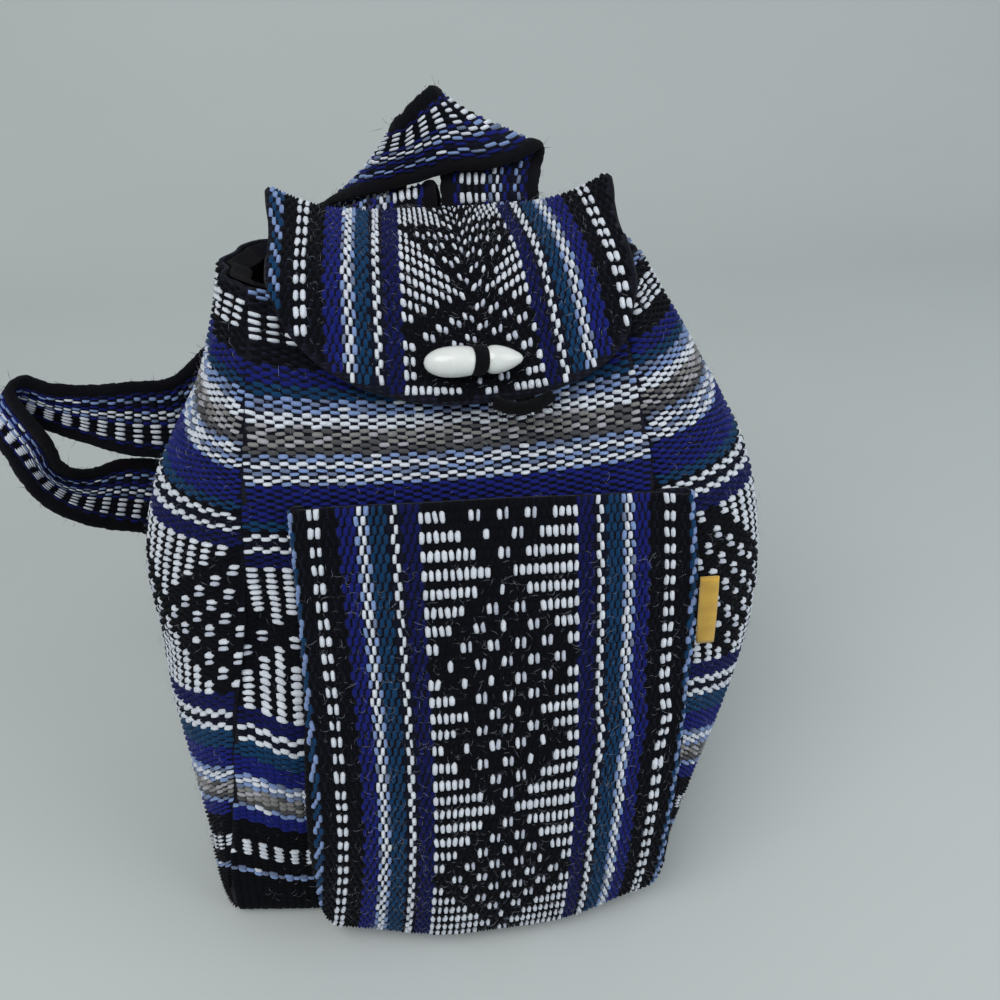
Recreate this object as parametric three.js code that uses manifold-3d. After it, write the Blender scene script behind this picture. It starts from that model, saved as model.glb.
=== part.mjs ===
import * as THREE from 'three';
import { mergeVertices } from 'three/addons/utils/BufferGeometryUtils.js';
import Module from 'manifold-3d';

// Sizes of the bag, in mm
const BODY_HEIGHT = 240;
const BODY_WIDTH = 206;
const BODY_DEPTH = 104;
const HALF_WIDTH = BODY_WIDTH / 2;
const HALF_DEPTH = BODY_DEPTH / 2;
const CLOTH = 1.8;
const SEAM_GAP = 0.5;
const FRONT_BOW = 5;
const BACK_BOW = 3;
const GUSSET_FULLNESS = 0.68;
const MOUTH_DIP = 7;
const DIP_FROM = 0.8;
const GATHER_DEPTH = 1.3;
const GATHER_WAVES = 3;
const GATHER_FROM = 0.84;

// Base cloth, drawstring casing and cords
const BASE_CLOTH = 2;
const BASE_CLEARANCE = 0.5;
const TAPE = 1.1;
const CASING_ROOM = 6.4;
const CASING_DROP = 13;
const TAPE_CLEARANCE = 0.7;
const DRAWSTRING_DIAMETER = 2.8;
const DRAWSTRING_DROP = 6.3;
const DRAWSTRING_OFFSET = 3.5;
const SLOT_X = 14;
const SLOT_LENGTH = 20;
const SLOT_HEIGHT = 7;
const SLOT_TILT = -Math.PI / 4;
const SLOT_COLUMN = 0.76;
const TOGGLE_CORD_DIAMETER = 2.2;

// Pocket
const POCKET_HEIGHT = 181;
const POCKET_CLOTH = 1.8;
const POCKET_CENTRE = 13;
const POCKET_SEWN_CENTRE = 9.5;
const POCKET_SEWN_WIDTH = 112;
const POCKET_WIDTH = 128;
const POCKET_DEPTH = 18;
const POCKET_CLEARANCE = 0.6;
const POCKET_SIDE = 0.25;
const POCKET_CROWN = 0.3;
const POCKET_FLAT = 0.3;
const POCKET_FOOT = 0.03;
const POCKET_KNEE = 0.16;

// Flap
const FLAP_CLOTH = 1.9;
const FLAP_WIDTH = 112;
const FLAP_SHIFT = 4;
const FLAP_CORNER = 0.3;
const FLAP_ROUNDING = 2.7;
const FLAP_EAR = 10;
const EAR_AT = 0.17;
const EAR_SPREAD = 0.16;
const FLAP_WRAP = 5;
const WRAP_FROM = 0.4;

// Toggle
const TOGGLE_LENGTH = 30;
const TOGGLE_DIAMETER = 10;
const TOGGLE_AT = { x: 0.0728 * HALF_WIDTH, y: -0.425 * HALF_DEPTH, z: 0.943 * BODY_HEIGHT };
const WAIST_AT = 0.6;
const WAIST = 0.62;
const TOGGLE_CLEARANCE = 0.5;
const FLAP_SLOPE = Math.PI / 4;
const ARCH_TURN = 0.58 * Math.PI;

// Straps
const STRAP_WIDTH = 34;
const STRAP_CLOTH = 2.4;
const EDGE_WIDTH = 4.6;
const EDGE_THICKNESS = 3.2;
const EDGE_CLEARANCE = 1.6;
const STRAP_SQUARE = 0.15;

// Side tab
const TAB_HEIGHT = 25;
const TAB_WIDTH = 7;
const TAB_Y = -0.846 * HALF_DEPTH;
const TAB_Z = 0.79 * POCKET_HEIGHT;
const TAB_CLEARANCE = 0.5;
const TAB_THICKNESS = 1.2;

// Sections of the body from the base up, each a share of the height, half width or half depth
const BODY_COLUMNS = ['at', 'left', 'right', 'seamLeft', 'seamRight', 'front', 'back', 'backSeam'];
const BODY = [
  [0.00, 0.945, 0.800, 0.885, 0.73, -0.940, 0.96, 0.80],
  [0.04, 0.975, 0.850, 0.900, 0.75, -1.000, 0.98, 0.81],
  [0.17, 0.990, 0.960, 0.860, 0.75, -1.050, 1.00, 0.79],
  [0.29, 1.010, 1.050, 0.810, 0.74, -1.038, 1.02, 0.76],
  [0.44, 1.035, 1.125, 0.755, 0.71, -0.942, 1.04, 0.72],
  [0.58, 1.040, 1.120, 0.685, 0.67, -0.788, 1.04, 0.69],
  [0.71, 0.965, 1.050, 0.650, 0.64, -0.635, 1.04, 0.66],
  [0.79, 0.870, 0.965, 0.630, 0.62, -0.519, 1.03, 0.64],
  [0.85, 0.790, 0.875, 0.610, 0.59, -0.404, 1.02, 0.61],
  [0.91, 0.725, 0.780, 0.590, 0.57, -0.231, 1.01, 0.59],
  [0.96, 0.685, 0.700, 0.575, 0.55, -0.038, 1.00, 0.57],
  [1.00, 0.665, 0.640, 0.565, 0.54, 0.115, 1.00, 0.56],
].map((row) => Object.fromEntries(row.map((value, i) => [BODY_COLUMNS[i], value])));

// Folds and dents of the body: place across and up the panel, size and depth in mm, inward is positive
const BODY_DENTS = [
  { panel: 'front_panel', across: 0.05, up: 0.57, wide: 0.06, tall: 0.10, deep: 3.2 },
  { panel: 'front_panel', across: 0.11, up: 0.47, wide: 0.05, tall: 0.11, deep: -2.0 },
  { panel: 'left_gusset', across: 0.70, up: 0.50, wide: 0.14, tall: 0.07, deep: 3.0 },
  { panel: 'left_gusset', across: 0.45, up: 0.17, wide: 0.30, tall: 0.04, deep: 3.5 },
  { panel: 'left_gusset', across: 0.60, up: 0.83, wide: 0.20, tall: 0.06, deep: 2.0 },
  { panel: 'right_gusset', across: 0.40, up: 0.80, wide: 0.20, tall: 0.07, deep: 2.5 },
  { panel: 'right_gusset', across: 0.45, up: 0.22, wide: 0.30, tall: 0.05, deep: 2.5 },
  { panel: 'back_panel', across: 0.35, up: 0.45, wide: 0.25, tall: 0.12, deep: 2.5 },
];

// Sections of the pocket from its bottom seam up: height, depth and half widths as shares
const POCKET = [
  { at: 0.000, height: 0.004, depth: 0.44, left: 1.05, right: 0.93 },
  { at: 0.040, height: 0.012, depth: 0.62, left: 1.06, right: 0.94 },
  { at: 0.080, height: 0.026, depth: 0.82, left: 1.08, right: 0.95 },
  { at: 0.130, height: 0.058, depth: 0.97, left: 1.09, right: 0.96 },
  { at: 0.220, height: 0.140, depth: 1.02, left: 1.10, right: 0.97 },
  { at: 0.360, height: 0.300, depth: 0.98, left: 1.10, right: 0.97 },
  { at: 0.480, height: 0.440, depth: 0.84, left: 1.08, right: 0.98 },
  { at: 0.570, height: 0.550, depth: 0.74, left: 1.05, right: 0.99 },
  { at: 0.630, height: 0.620, depth: 0.66, left: 1.03, right: 1.00 },
  { at: 0.720, height: 0.730, depth: 0.60, left: 1.01, right: 1.03 },
  { at: 0.840, height: 0.860, depth: 0.48, left: 1.00, right: 1.03 },
  { at: 1.000, height: 1.000, depth: 0.38, left: 1.00, right: 1.00 },
];

// Folds of the pocket cloth: place across and up, size and depth in mm
const POCKET_DENTS = [
  { across: 0.50, up: 0.60, wide: 0.22, tall: 0.022, deep: 2.2 },
  { across: 0.78, up: 0.64, wide: 0.14, tall: 0.040, deep: 1.6 },
  { across: 0.14, up: 0.80, wide: 0.08, tall: 0.090, deep: 1.5 },
  { across: 0.86, up: 0.32, wide: 0.08, tall: 0.140, deep: 2.2 },
];

// Profile of the flap from the seam on the back, over the fold, to the front edge, as shares of
// half the depth and of the height
const FLAP = [
  { at: 0.00, y: 1.0462, z: 0.9667 },
  { at: 0.06, y: 1.0538, z: 1.0000 },
  { at: 0.11, y: 1.0308, z: 1.0208 },
  { at: 0.16, y: 0.9500, z: 1.0317 },
  { at: 0.23, y: 0.8077, z: 1.0342 },
  { at: 0.35, y: 0.5577, z: 1.0333 },
  { at: 0.48, y: 0.2885, z: 1.0267 },
  { at: 0.60, y: 0.0673, z: 1.0063 },
  { at: 0.72, y: -0.1250, z: 0.9738 },
  { at: 0.86, y: -0.3173, z: 0.9333 },
  { at: 1.00, y: -0.4808, z: 0.8958 },
];

// Ends of the drawstring from the slots down: place across, drop from the mouth, distance off
// the front panel, in mm
const DRAWSTRING_RIGHT_END = [
  { x: 16, drop: 6.4, stand: -0.9 },
  { x: 9, drop: 7.6, stand: 2.4 },
  { x: 5, drop: 12.0, stand: 2.3 },
  { x: 8, drop: 19.0, stand: 2.1 },
  { x: 16, drop: 25.0, stand: 2.1 },
  { x: 26, drop: 28.5, stand: 2.1 },
];

const DRAWSTRING_LEFT_END = [
  { x: -16, drop: 6.4, stand: -0.9 },
  { x: -9, drop: 7.6, stand: 2.4 },
  { x: -5, drop: 12.0, stand: 2.3 },
  { x: -6, drop: 19.0, stand: 2.1 },
  { x: -9, drop: 25.0, stand: 2.1 },
];

// Half profile of the spindle from the blunt end to the pointed end
const TOGGLE = [
  { at: 0.000, radius: 0.00 },
  { at: 0.012, radius: 0.34 },
  { at: 0.060, radius: 0.66 },
  { at: 0.160, radius: 0.92 },
  { at: 0.300, radius: 1.00 },
  { at: 0.440, radius: 0.86 },
  { at: 0.540, radius: 0.66 },
  { at: WAIST_AT, radius: WAIST },
  { at: 0.660, radius: 0.74 },
  { at: 0.760, radius: 0.86 },
  { at: 0.860, radius: 0.76 },
  { at: 0.940, radius: 0.52 },
  { at: 0.985, radius: 0.24 },
  { at: 1.000, radius: 0.00 },
];

// Route of the straps: centre line as shares of half the width, half the depth and the height,
// direction of the width, share of the full width
const STRAP_LEFT = [
  { x: 0.2136, y: 1.0942, z: 0.9667, wx: 1, wy: 0, wz: 0, share: 1.00 },
  { x: 0.2136, y: 1.1192, z: 1.0083, wx: 1, wy: 0, wz: 0, share: 1.00 },
  { x: 0.2136, y: 1.2115, z: 1.0417, wx: 1, wy: 0, wz: -0.02, share: 1.00 },
  { x: 0.2233, y: 1.3077, z: 1.0708, wx: 1, wy: 0, wz: -0.15, share: 1.04 },
  { x: 0.2233, y: 1.3538, z: 1.1000, wx: 0.93, wy: 0, wz: -0.36, share: 1.18 },
  { x: 0.2039, y: 1.3192, z: 1.1250, wx: 0.90, wy: 0, wz: -0.44, share: 1.22 },
  { x: 0.1456, y: 1.2385, z: 1.1250, wx: 0.74, wy: -0.03, wz: -0.67, share: 1.04 },
  { x: 0.0485, y: 1.2000, z: 1.1208, wx: 0.36, wy: -0.06, wz: -0.92, share: 0.80 },
  { x: -0.0680, y: 1.2038, z: 1.0983, wx: -0.20, wy: -0.05, wz: -0.97, share: 0.70 },
  { x: -0.1456, y: 1.2731, z: 1.0833, wx: -0.50, wy: 0, wz: -0.86, share: 0.78 },
  { x: -0.1845, y: 1.3923, z: 1.0646, wx: -0.68, wy: 0, wz: -0.73, share: 0.90 },
  { x: -0.2136, y: 1.5000, z: 1.0292, wx: -0.86, wy: 0, wz: -0.48, share: 1.00 },
  { x: -0.2524, y: 1.5577, z: 0.9667, wx: -0.99, wy: 0, wz: 0.10, share: 1.00 },
  { x: -0.3495, y: 1.5385, z: 0.8833, wx: -0.85, wy: 0, wz: 0.50, share: 1.00 },
  { x: -0.5243, y: 1.4808, z: 0.8083, wx: -0.66, wy: 0, wz: 0.75, share: 1.00 },
  { x: -0.7379, y: 1.3846, z: 0.7375, wx: -0.45, wy: 0, wz: 0.89, share: 1.00 },
  { x: -0.9515, y: 1.2500, z: 0.6833, wx: -0.05, wy: 0.10, wz: 1, share: 1.00 },
  { x: -1.1262, y: 1.1538, z: 0.6958, wx: 0.15, wy: 0.15, wz: 1, share: 0.90 },
  { x: -1.2816, y: 1.1058, z: 0.7167, wx: 0.25, wy: 0.10, wz: 1, share: 0.70 },
  { x: -1.3981, y: 1.0769, z: 0.7375, wx: 0.35, wy: 0.10, wz: 1, share: 0.56 },
  { x: -1.4854, y: 1.0288, z: 0.7625, wx: 0.55, wy: 0.05, wz: 0.85, share: 0.56 },
  { x: -1.5243, y: 0.9135, z: 0.7625, wx: 0.65, wy: 0.00, wz: 0.76, share: 0.58 },
  { x: -1.4854, y: 0.8173, z: 0.7375, wx: 0.70, wy: 0.00, wz: 0.70, share: 0.56 },
  { x: -1.4466, y: 0.7885, z: 0.7000, wx: 0.92, wy: 0.10, wz: 0.40, share: 0.52 },
  { x: -1.4369, y: 0.8173, z: 0.6583, wx: 0.90, wy: 0.40, wz: 0.15, share: 0.46 },
  { x: -1.4078, y: 0.8846, z: 0.6167, wx: 0.60, wy: 0.75, wz: 0.30, share: 0.52 },
  { x: -1.3398, y: 0.9808, z: 0.5833, wx: 0.35, wy: 0.85, wz: 0.45, share: 0.66 },
  { x: -1.2427, y: 1.0962, z: 0.5625, wx: 0.30, wy: 0.55, wz: 0.80, share: 0.84 },
  { x: -1.1068, y: 1.1923, z: 0.5333, wx: 0.35, wy: 0.25, wz: 0.90, share: 0.96 },
  { x: -0.9515, y: 1.2692, z: 0.4542, wx: 0.60, wy: 0.10, wz: 0.75, share: 1.00 },
  { x: -0.8058, y: 1.2692, z: 0.3417, wx: 0.80, wy: 0, wz: 0.55, share: 1.00 },
  { x: -0.6893, y: 1.1538, z: 0.2292, wx: 0.92, wy: 0, wz: 0.38, share: 1.00 },
  { x: -0.5922, y: 1.0462, z: 0.1333, wx: 0.95, wy: 0, wz: 0.30, share: 1.00 },
  { x: -0.5534, y: 1.0077, z: 0.0750, wx: 0.97, wy: 0.08, wz: 0.22, share: 1.00 },
];

const STRAP_RIGHT = [
  { x: -0.1359, y: 1.0942, z: 0.9708, wx: 1, wy: 0, wz: 0, share: 1.00 },
  { x: -0.1359, y: 1.1231, z: 1.0042, wx: 1, wy: 0, wz: 0, share: 1.00 },
  { x: -0.1311, y: 1.1808, z: 1.0250, wx: 0.96, wy: 0, wz: 0.18, share: 0.98 },
  { x: -0.1262, y: 1.2692, z: 1.0275, wx: 0.96, wy: 0, wz: 0.26, share: 0.98 },
  { x: -0.1165, y: 1.3346, z: 1.0125, wx: 0.96, wy: 0, wz: 0.20, share: 1.00 },
  { x: -0.1068, y: 1.3577, z: 0.9750, wx: 0.98, wy: 0, wz: 0.12, share: 1.00 },
  { x: -0.0194, y: 1.4038, z: 0.8583, wx: 0.92, wy: 0, wz: 0.38, share: 1.00 },
  { x: 0.1748, y: 1.4423, z: 0.6875, wx: 0.88, wy: 0, wz: 0.46, share: 1.00 },
  { x: 0.3689, y: 1.4423, z: 0.5083, wx: 0.90, wy: 0, wz: 0.42, share: 1.00 },
  { x: 0.5243, y: 1.3462, z: 0.3333, wx: 0.95, wy: 0, wz: 0.30, share: 1.00 },
  { x: 0.5728, y: 1.1538, z: 0.2000, wx: 0.98, wy: 0, wz: 0.15, share: 1.00 },
  { x: 0.5825, y: 1.0269, z: 0.1250, wx: 1, wy: -0.08, wz: 0.05, share: 1.00 },
  { x: 0.5825, y: 0.9962, z: 0.0667, wx: 1, wy: -0.08, wz: 0, share: 1.00 },
];

// Counts of faces along the pieces
const PANEL_ROWS = 20;
const PANEL_COLUMNS = { front_panel: 16, right_gusset: 9, back_panel: 10, left_gusset: 9 };
const POCKET_COLUMNS = 20;
const POCKET_ROWS = 17;
const FLAP_COLUMNS = 12;
const FLAP_ROWS = 20;
const CORD_SIDES = 8;
const DRAWSTRING_STEPS = 70;
const STRAP_SPACING = 5.5;
const TOGGLE_SIDES = 20;
const ARCH_POINTS = 8;
const ARCH_STEPS = 16;
const TAB_SEARCH = 60;

const mix = (a, b, share) => a + (b - a) * share;

// A smooth curve through one column of a table
function smooth(table, column, share) {
  const last = table.length - 1;
  let row = 0;
  while (row < last - 1 && table[row + 1].at < share) row += 1;
  const a = table[row];
  const b = table[row + 1];
  const before = table[Math.max(row - 1, 0)];
  const after = table[Math.min(row + 2, last)];
  const span = b.at - a.at;
  const t = (share - a.at) / span;
  const straight = b[column] - a[column];
  const slopeA = row > 0 ? ((b[column] - before[column]) / (b.at - before.at)) * span : straight;
  const slopeB = row < last - 1 ? ((after[column] - a[column]) / (after.at - a.at)) * span : straight;
  const t2 = t * t;
  const t3 = t2 * t;
  const start = (2 * t3 - 3 * t2 + 1) * a[column] + (t3 - 2 * t2 + t) * slopeA;
  return start + (3 * t2 - 2 * t3) * b[column] + (t3 - t2) * slopeB;
}

const bump = (value, centre, width) => Math.exp(-(((value - centre) / width) ** 2));

function dentDepth(dents, across, up) {
  let depth = 0;
  for (const dent of dents) {
    depth += dent.deep * bump(across, dent.across, dent.wide) * bump(up, dent.up, dent.tall);
  }
  return depth;
}

// Corner lines of the body at one height
function bodySection(up) {
  const size = (column, unit) => smooth(BODY, column, up) * unit;
  return {
    left: size('left', HALF_WIDTH),
    right: size('right', HALF_WIDTH),
    seamLeft: size('seamLeft', HALF_WIDTH),
    seamRight: size('seamRight', HALF_WIDTH),
    backSeam: size('backSeam', HALF_WIDTH),
    front: size('front', HALF_DEPTH),
    back: size('back', HALF_DEPTH),
    z: up * BODY_HEIGHT,
  };
}

const gather = (across, up) => {
  const strength = THREE.MathUtils.smoothstep(up, GATHER_FROM, 1);
  return GATHER_DEPTH * strength * Math.sin(across * GATHER_WAVES * 2 * Math.PI);
};

// Outer face of each body panel
const BODY_FACES = {
  front_panel(across, up) {
    const s = bodySection(up);
    const side = 2 * across - 1;
    const dip = MOUTH_DIP * THREE.MathUtils.smoothstep(up, DIP_FROM, 1) * (1 - side * side);
    const dent = dentDepth(BODY_DENTS.filter((row) => row.panel === 'front_panel'), across, up);
    return [mix(-s.seamLeft, s.seamRight, across), s.front + FRONT_BOW * side * side + dent, s.z - dip];
  },
  right_gusset(across, up) {
    const s = bodySection(up);
    const swell = Math.sin(Math.PI * across) ** GUSSET_FULLNESS;
    const dent = dentDepth(BODY_DENTS.filter((row) => row.panel === 'right_gusset'), across, up);
    const seam = mix(s.seamRight, s.backSeam, across);
    const out = s.right - mix(s.seamRight, s.backSeam, 0.5);
    const x = seam + out * swell + (gather(across, up) - dent) * swell;
    return [x, mix(s.front + FRONT_BOW, s.back - BACK_BOW, across), s.z];
  },
  back_panel(across, up) {
    const s = bodySection(up);
    const side = 2 * across - 1;
    const dent = dentDepth(BODY_DENTS.filter((row) => row.panel === 'back_panel'), across, up);
    return [mix(s.backSeam, -s.backSeam, across), s.back - BACK_BOW * side * side - dent, s.z];
  },
  left_gusset(across, up) {
    const s = bodySection(up);
    const swell = Math.sin(Math.PI * across) ** GUSSET_FULLNESS;
    const dent = dentDepth(BODY_DENTS.filter((row) => row.panel === 'left_gusset'), across, up);
    const seam = mix(s.backSeam, s.seamLeft, across);
    const out = s.left - mix(s.backSeam, s.seamLeft, 0.5);
    const x = seam + out * swell + (gather(across, up) - dent) * swell;
    return [-x, mix(s.back - BACK_BOW, s.front + FRONT_BOW, across), s.z];
  },
};

const PANEL_ORDER = ['front_panel', 'right_gusset', 'back_panel', 'left_gusset'];

// Closed line round the body at one height; each panel starts at its own index
function bodyLoop(up) {
  const points = [];
  const start = {};
  for (const name of PANEL_ORDER) {
    start[name] = points.length;
    const columns = PANEL_COLUMNS[name];
    for (let i = 0; i < columns; i += 1) points.push(BODY_FACES[name](i / columns, up));
  }
  return { points, start };
}

// The same line moved inward by a distance in plan, with mitred corners
const MITRE_LIMIT = 0.6;
function insetLoop(points, distance) {
  const count = points.length;
  return points.map((point, i) => {
    const before = points[(i + count - 1) % count];
    const after = points[(i + 1) % count];
    const a = new THREE.Vector2(point[0] - before[0], point[1] - before[1]).normalize();
    const b = new THREE.Vector2(after[0] - point[0], after[1] - point[1]).normalize();
    const normal = new THREE.Vector2(-a.y - b.y, a.x + b.x).normalize();
    const stretch = distance / Math.max(MITRE_LIMIT, normal.dot(new THREE.Vector2(-a.y, a.x)));
    return [point[0] + normal.x * stretch, point[1] + normal.y * stretch, point[2]];
  });
}

// A closed solid from rows of vertices, faces listed by index, turned to face outward
function solid(vertices, triangles) {
  let volume = 0;
  const a = new THREE.Vector3();
  const b = new THREE.Vector3();
  const c = new THREE.Vector3();
  for (const [i, j, k] of triangles) {
    a.fromArray(vertices[i]);
    b.fromArray(vertices[j]);
    c.fromArray(vertices[k]);
    volume += a.dot(b.cross(c));
  }
  const geometry = new THREE.BufferGeometry();
  geometry.setAttribute('position', new THREE.Float32BufferAttribute(vertices.flat(), 3));
  geometry.setIndex(triangles.flatMap(([i, j, k]) => (volume > 0 ? [i, j, k] : [i, k, j])));
  geometry.computeVertexNormals();
  return geometry;
}

// A thin wall between an outer and an inner grid of points
function wall(outer, inner) {
  const rows = outer.length;
  const columns = outer[0].length;
  const vertices = [...outer.flat(), ...inner.flat()];
  const at = (layer, row, column) => layer * rows * columns + row * columns + column;
  const triangles = [];
  const quad = (i, j, k, l) => triangles.push([i, j, k], [i, k, l]);
  for (let r = 0; r < rows - 1; r += 1) {
    for (let c = 0; c < columns - 1; c += 1) {
      quad(at(0, r, c), at(0, r, c + 1), at(0, r + 1, c + 1), at(0, r + 1, c));
      quad(at(1, r, c), at(1, r + 1, c), at(1, r + 1, c + 1), at(1, r, c + 1));
    }
  }
  for (let c = 0; c < columns - 1; c += 1) {
    quad(at(0, 0, c), at(1, 0, c), at(1, 0, c + 1), at(0, 0, c + 1));
    quad(at(0, rows - 1, c + 1), at(1, rows - 1, c + 1), at(1, rows - 1, c), at(0, rows - 1, c));
  }
  for (let r = 0; r < rows - 1; r += 1) {
    quad(at(0, r + 1, 0), at(1, r + 1, 0), at(1, r, 0), at(0, r, 0));
    const c = columns - 1;
    quad(at(0, r, c), at(1, r, c), at(1, r + 1, c), at(0, r + 1, c));
  }
  return solid(vertices, triangles);
}

// Point at a distance off a surface, along its normal
const NORMAL_STEP = 1e-3;
function offSurface(surface, u, v, distance) {
  const within = (value) => THREE.MathUtils.clamp(value, 0, 1);
  const at = (a, b) => new THREE.Vector3(...surface(within(a), within(b)));
  const across = at(u + NORMAL_STEP, v).sub(at(u - NORMAL_STEP, v));
  const up = at(u, v + NORMAL_STEP).sub(at(u, v - NORMAL_STEP));
  return at(u, v).addScaledVector(across.cross(up).normalize(), distance);
}

// Points of a surface over an even grid
function grid(surface, columns, rows) {
  const points = [];
  for (let r = 0; r <= rows; r += 1) {
    const row = [];
    for (let c = 0; c <= columns; c += 1) row.push(surface(c / columns, r / rows));
    points.push(row);
  }
  return points;
}

function mesh(name, geometry, material) {
  const object = new THREE.Mesh(geometry, material);
  object.name = name;
  return object;
}

const cloth = (name) => new THREE.MeshStandardMaterial({ name, color: 0x24408c, roughness: 0.95 });
const tape = (name) => new THREE.MeshStandardMaterial({ name, color: 0x121218, roughness: 0.95 });

const bag = new THREE.Group();
bag.name = 'woven_drawstring_backpack';

const wasm = await Module();
wasm.setup();
const WELD = 1e-4;

function toManifold(geometry) {
  const bare = new THREE.BufferGeometry();
  bare.setAttribute('position', geometry.getAttribute('position'));
  bare.setIndex(geometry.getIndex());
  const welded = mergeVertices(bare, WELD);
  const vertProperties = new Float32Array(welded.getAttribute('position').array);
  const triVerts = new Uint32Array(welded.getIndex().array);
  return new wasm.Manifold(new wasm.Mesh({ numProp: 3, vertProperties, triVerts }));
}

function fromManifold(body) {
  const result = body.getMesh();
  const geometry = new THREE.BufferGeometry();
  geometry.setAttribute('position', new THREE.BufferAttribute(new Float32Array(result.vertProperties), 3));
  geometry.setIndex(new THREE.BufferAttribute(new Uint32Array(result.triVerts), 1));
  geometry.computeVertexNormals();
  return geometry;
}

// Body panels, each a wall with its seam edges pulled back by half the seam gap
function panelGrid(name, inset) {
  const grid = [];
  const columns = PANEL_COLUMNS[name];
  for (let r = 0; r <= PANEL_ROWS; r += 1) {
    const loop = bodyLoop(r / PANEL_ROWS);
    const points = inset > 0 ? insetLoop(loop.points, inset) : loop.points;
    const row = [];
    for (let c = 0; c <= columns; c += 1) row.push(points[(loop.start[name] + c) % points.length]);
    grid.push(row);
  }
  const pull = (end, next) => {
    const from = new THREE.Vector3(...end);
    const toward = new THREE.Vector3(...next);
    const share = SEAM_GAP / 2 / Math.hypot(toward.x - from.x, toward.y - from.y);
    return from.lerp(toward, share).toArray();
  };
  return grid.map((row) => {
    const last = row.length - 1;
    const middle = row.slice(1, last);
    return [pull(row[0], row[1]), ...middle, pull(row[last], row[last - 1])];
  });
}

for (const name of PANEL_ORDER) {
  let geometry = wall(panelGrid(name, 0), panelGrid(name, CLOTH));
  if (name === 'front_panel') {
    let panel = toManifold(geometry);
    for (const side of [-1, 1]) {
      const slot = new THREE.BoxGeometry(SLOT_LENGTH, CASING_ROOM * 3, SLOT_HEIGHT);
      const up = 1 - DRAWSTRING_DROP / BODY_HEIGHT;
      const across = 0.5 + (side * SLOT_X) / (2 * bodySection(up).seamRight);
      const centre = BODY_FACES.front_panel(across, up);
      slot.rotateX(SLOT_TILT);
      slot.translate(...centre);
      panel = panel.subtract(toManifold(slot));
    }
    geometry = fromManifold(panel);
  }
  bag.add(mesh(name, geometry, cloth(`${name}_cloth`)));
}

// Base cloth inside the foot of the walls
const baseLine = insetLoop(bodyLoop(0).points, CLOTH + BASE_CLEARANCE);
const baseShape = new THREE.Shape(baseLine.map(([x, y]) => new THREE.Vector2(x, y)));
const base = new THREE.ExtrudeGeometry(baseShape, { depth: BASE_CLOTH, bevelEnabled: false });
bag.add(mesh('base_panel', base, cloth('base_cloth')));

// Tape inside the mouth: its middle stands off the wall to make room for the drawstring
const TAPE_PROFILE = [
  { inset: TAPE_CLEARANCE, drop: 0.6 },
  { inset: CASING_ROOM, drop: 3.4 },
  { inset: CASING_ROOM, drop: 9.4 },
  { inset: TAPE_CLEARANCE, drop: CASING_DROP },
  { inset: TAPE_CLEARANCE + TAPE, drop: CASING_DROP + TAPE },
  { inset: CASING_ROOM + TAPE, drop: 9.8 },
  { inset: CASING_ROOM + TAPE, drop: 2.8 },
  { inset: TAPE_CLEARANCE + TAPE, drop: 0.2 },
];

function mouthFacing() {
  const rings = TAPE_PROFILE.map(({ inset, drop }) => {
    const loop = bodyLoop(1 - drop / BODY_HEIGHT).points;
    return insetLoop(loop, CLOTH + inset);
  });
  const count = rings[0].length;
  const triangles = [];
  rings.forEach((ring, j) => {
    const next = (j + 1) % rings.length;
    for (let i = 0; i < count; i += 1) {
      const k = (i + 1) % count;
      triangles.push([j * count + i, j * count + k, next * count + k]);
      triangles.push([j * count + i, next * count + k, next * count + i]);
    }
  });
  return solid(rings.flat(), triangles);
}
bag.add(mesh('mouth_facing', mouthFacing(), tape('facing_tape')));

// A round cord along a curve
function cord(points, diameter, steps) {
  const curve = new THREE.CatmullRomCurve3(points, false, 'centripetal');
  const outline = new THREE.Shape();
  for (let i = 0; i < CORD_SIDES; i += 1) {
    const angle = (i / CORD_SIDES) * 2 * Math.PI;
    const x = (Math.cos(angle) * diameter) / 2;
    const y = (Math.sin(angle) * diameter) / 2;
    if (i === 0) outline.moveTo(x, y);
    else outline.lineTo(x, y);
  }
  outline.closePath();
  return new THREE.ExtrudeGeometry(outline, { steps, bevelEnabled: false, extrudePath: curve });
}

// Drawstring: round the casing and out through the two slots to its ends under the flap
function drawstring() {
  const up = 1 - DRAWSTRING_DROP / BODY_HEIGHT;
  const loop = bodyLoop(up);
  const line = insetLoop(loop.points, CLOTH + DRAWSTRING_OFFSET);
  const columns = PANEL_COLUMNS.front_panel;
  const first = Math.round(columns * SLOT_COLUMN);
  const points = [];
  for (let i = first; i <= line.length + columns - first; i += 1) {
    points.push(new THREE.Vector3(...line[i % line.length]));
  }
  const onPanel = ({ x, drop, stand }) => {
    const rise = 1 - drop / BODY_HEIGHT;
    const s = bodySection(rise);
    return offSurface(BODY_FACES.front_panel, (x + s.seamLeft) / (s.seamLeft + s.seamRight), rise, stand);
  };
  const right = DRAWSTRING_RIGHT_END.map(onPanel).reverse();
  const left = DRAWSTRING_LEFT_END.map(onPanel);
  return cord([...right, ...points, ...left], DRAWSTRING_DIAMETER, DRAWSTRING_STEPS);
}
bag.add(mesh('drawstring', drawstring(), tape('drawstring_cord')));

// One side of a pocket section: a flat turning lies on the panel, then the cloth goes round to the front
function pocketTurn(share, seam, radius, width, inset) {
  const flat = Math.max(width - radius - seam, 0);
  const way = share * (flat + Math.PI * radius);
  if (way < flat) return { out: seam + way, stand: inset };
  const angle = (way - flat) / radius;
  const bend = radius - inset;
  return { out: width - radius + bend * Math.sin(angle), stand: radius - bend * Math.cos(angle) };
}

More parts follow.
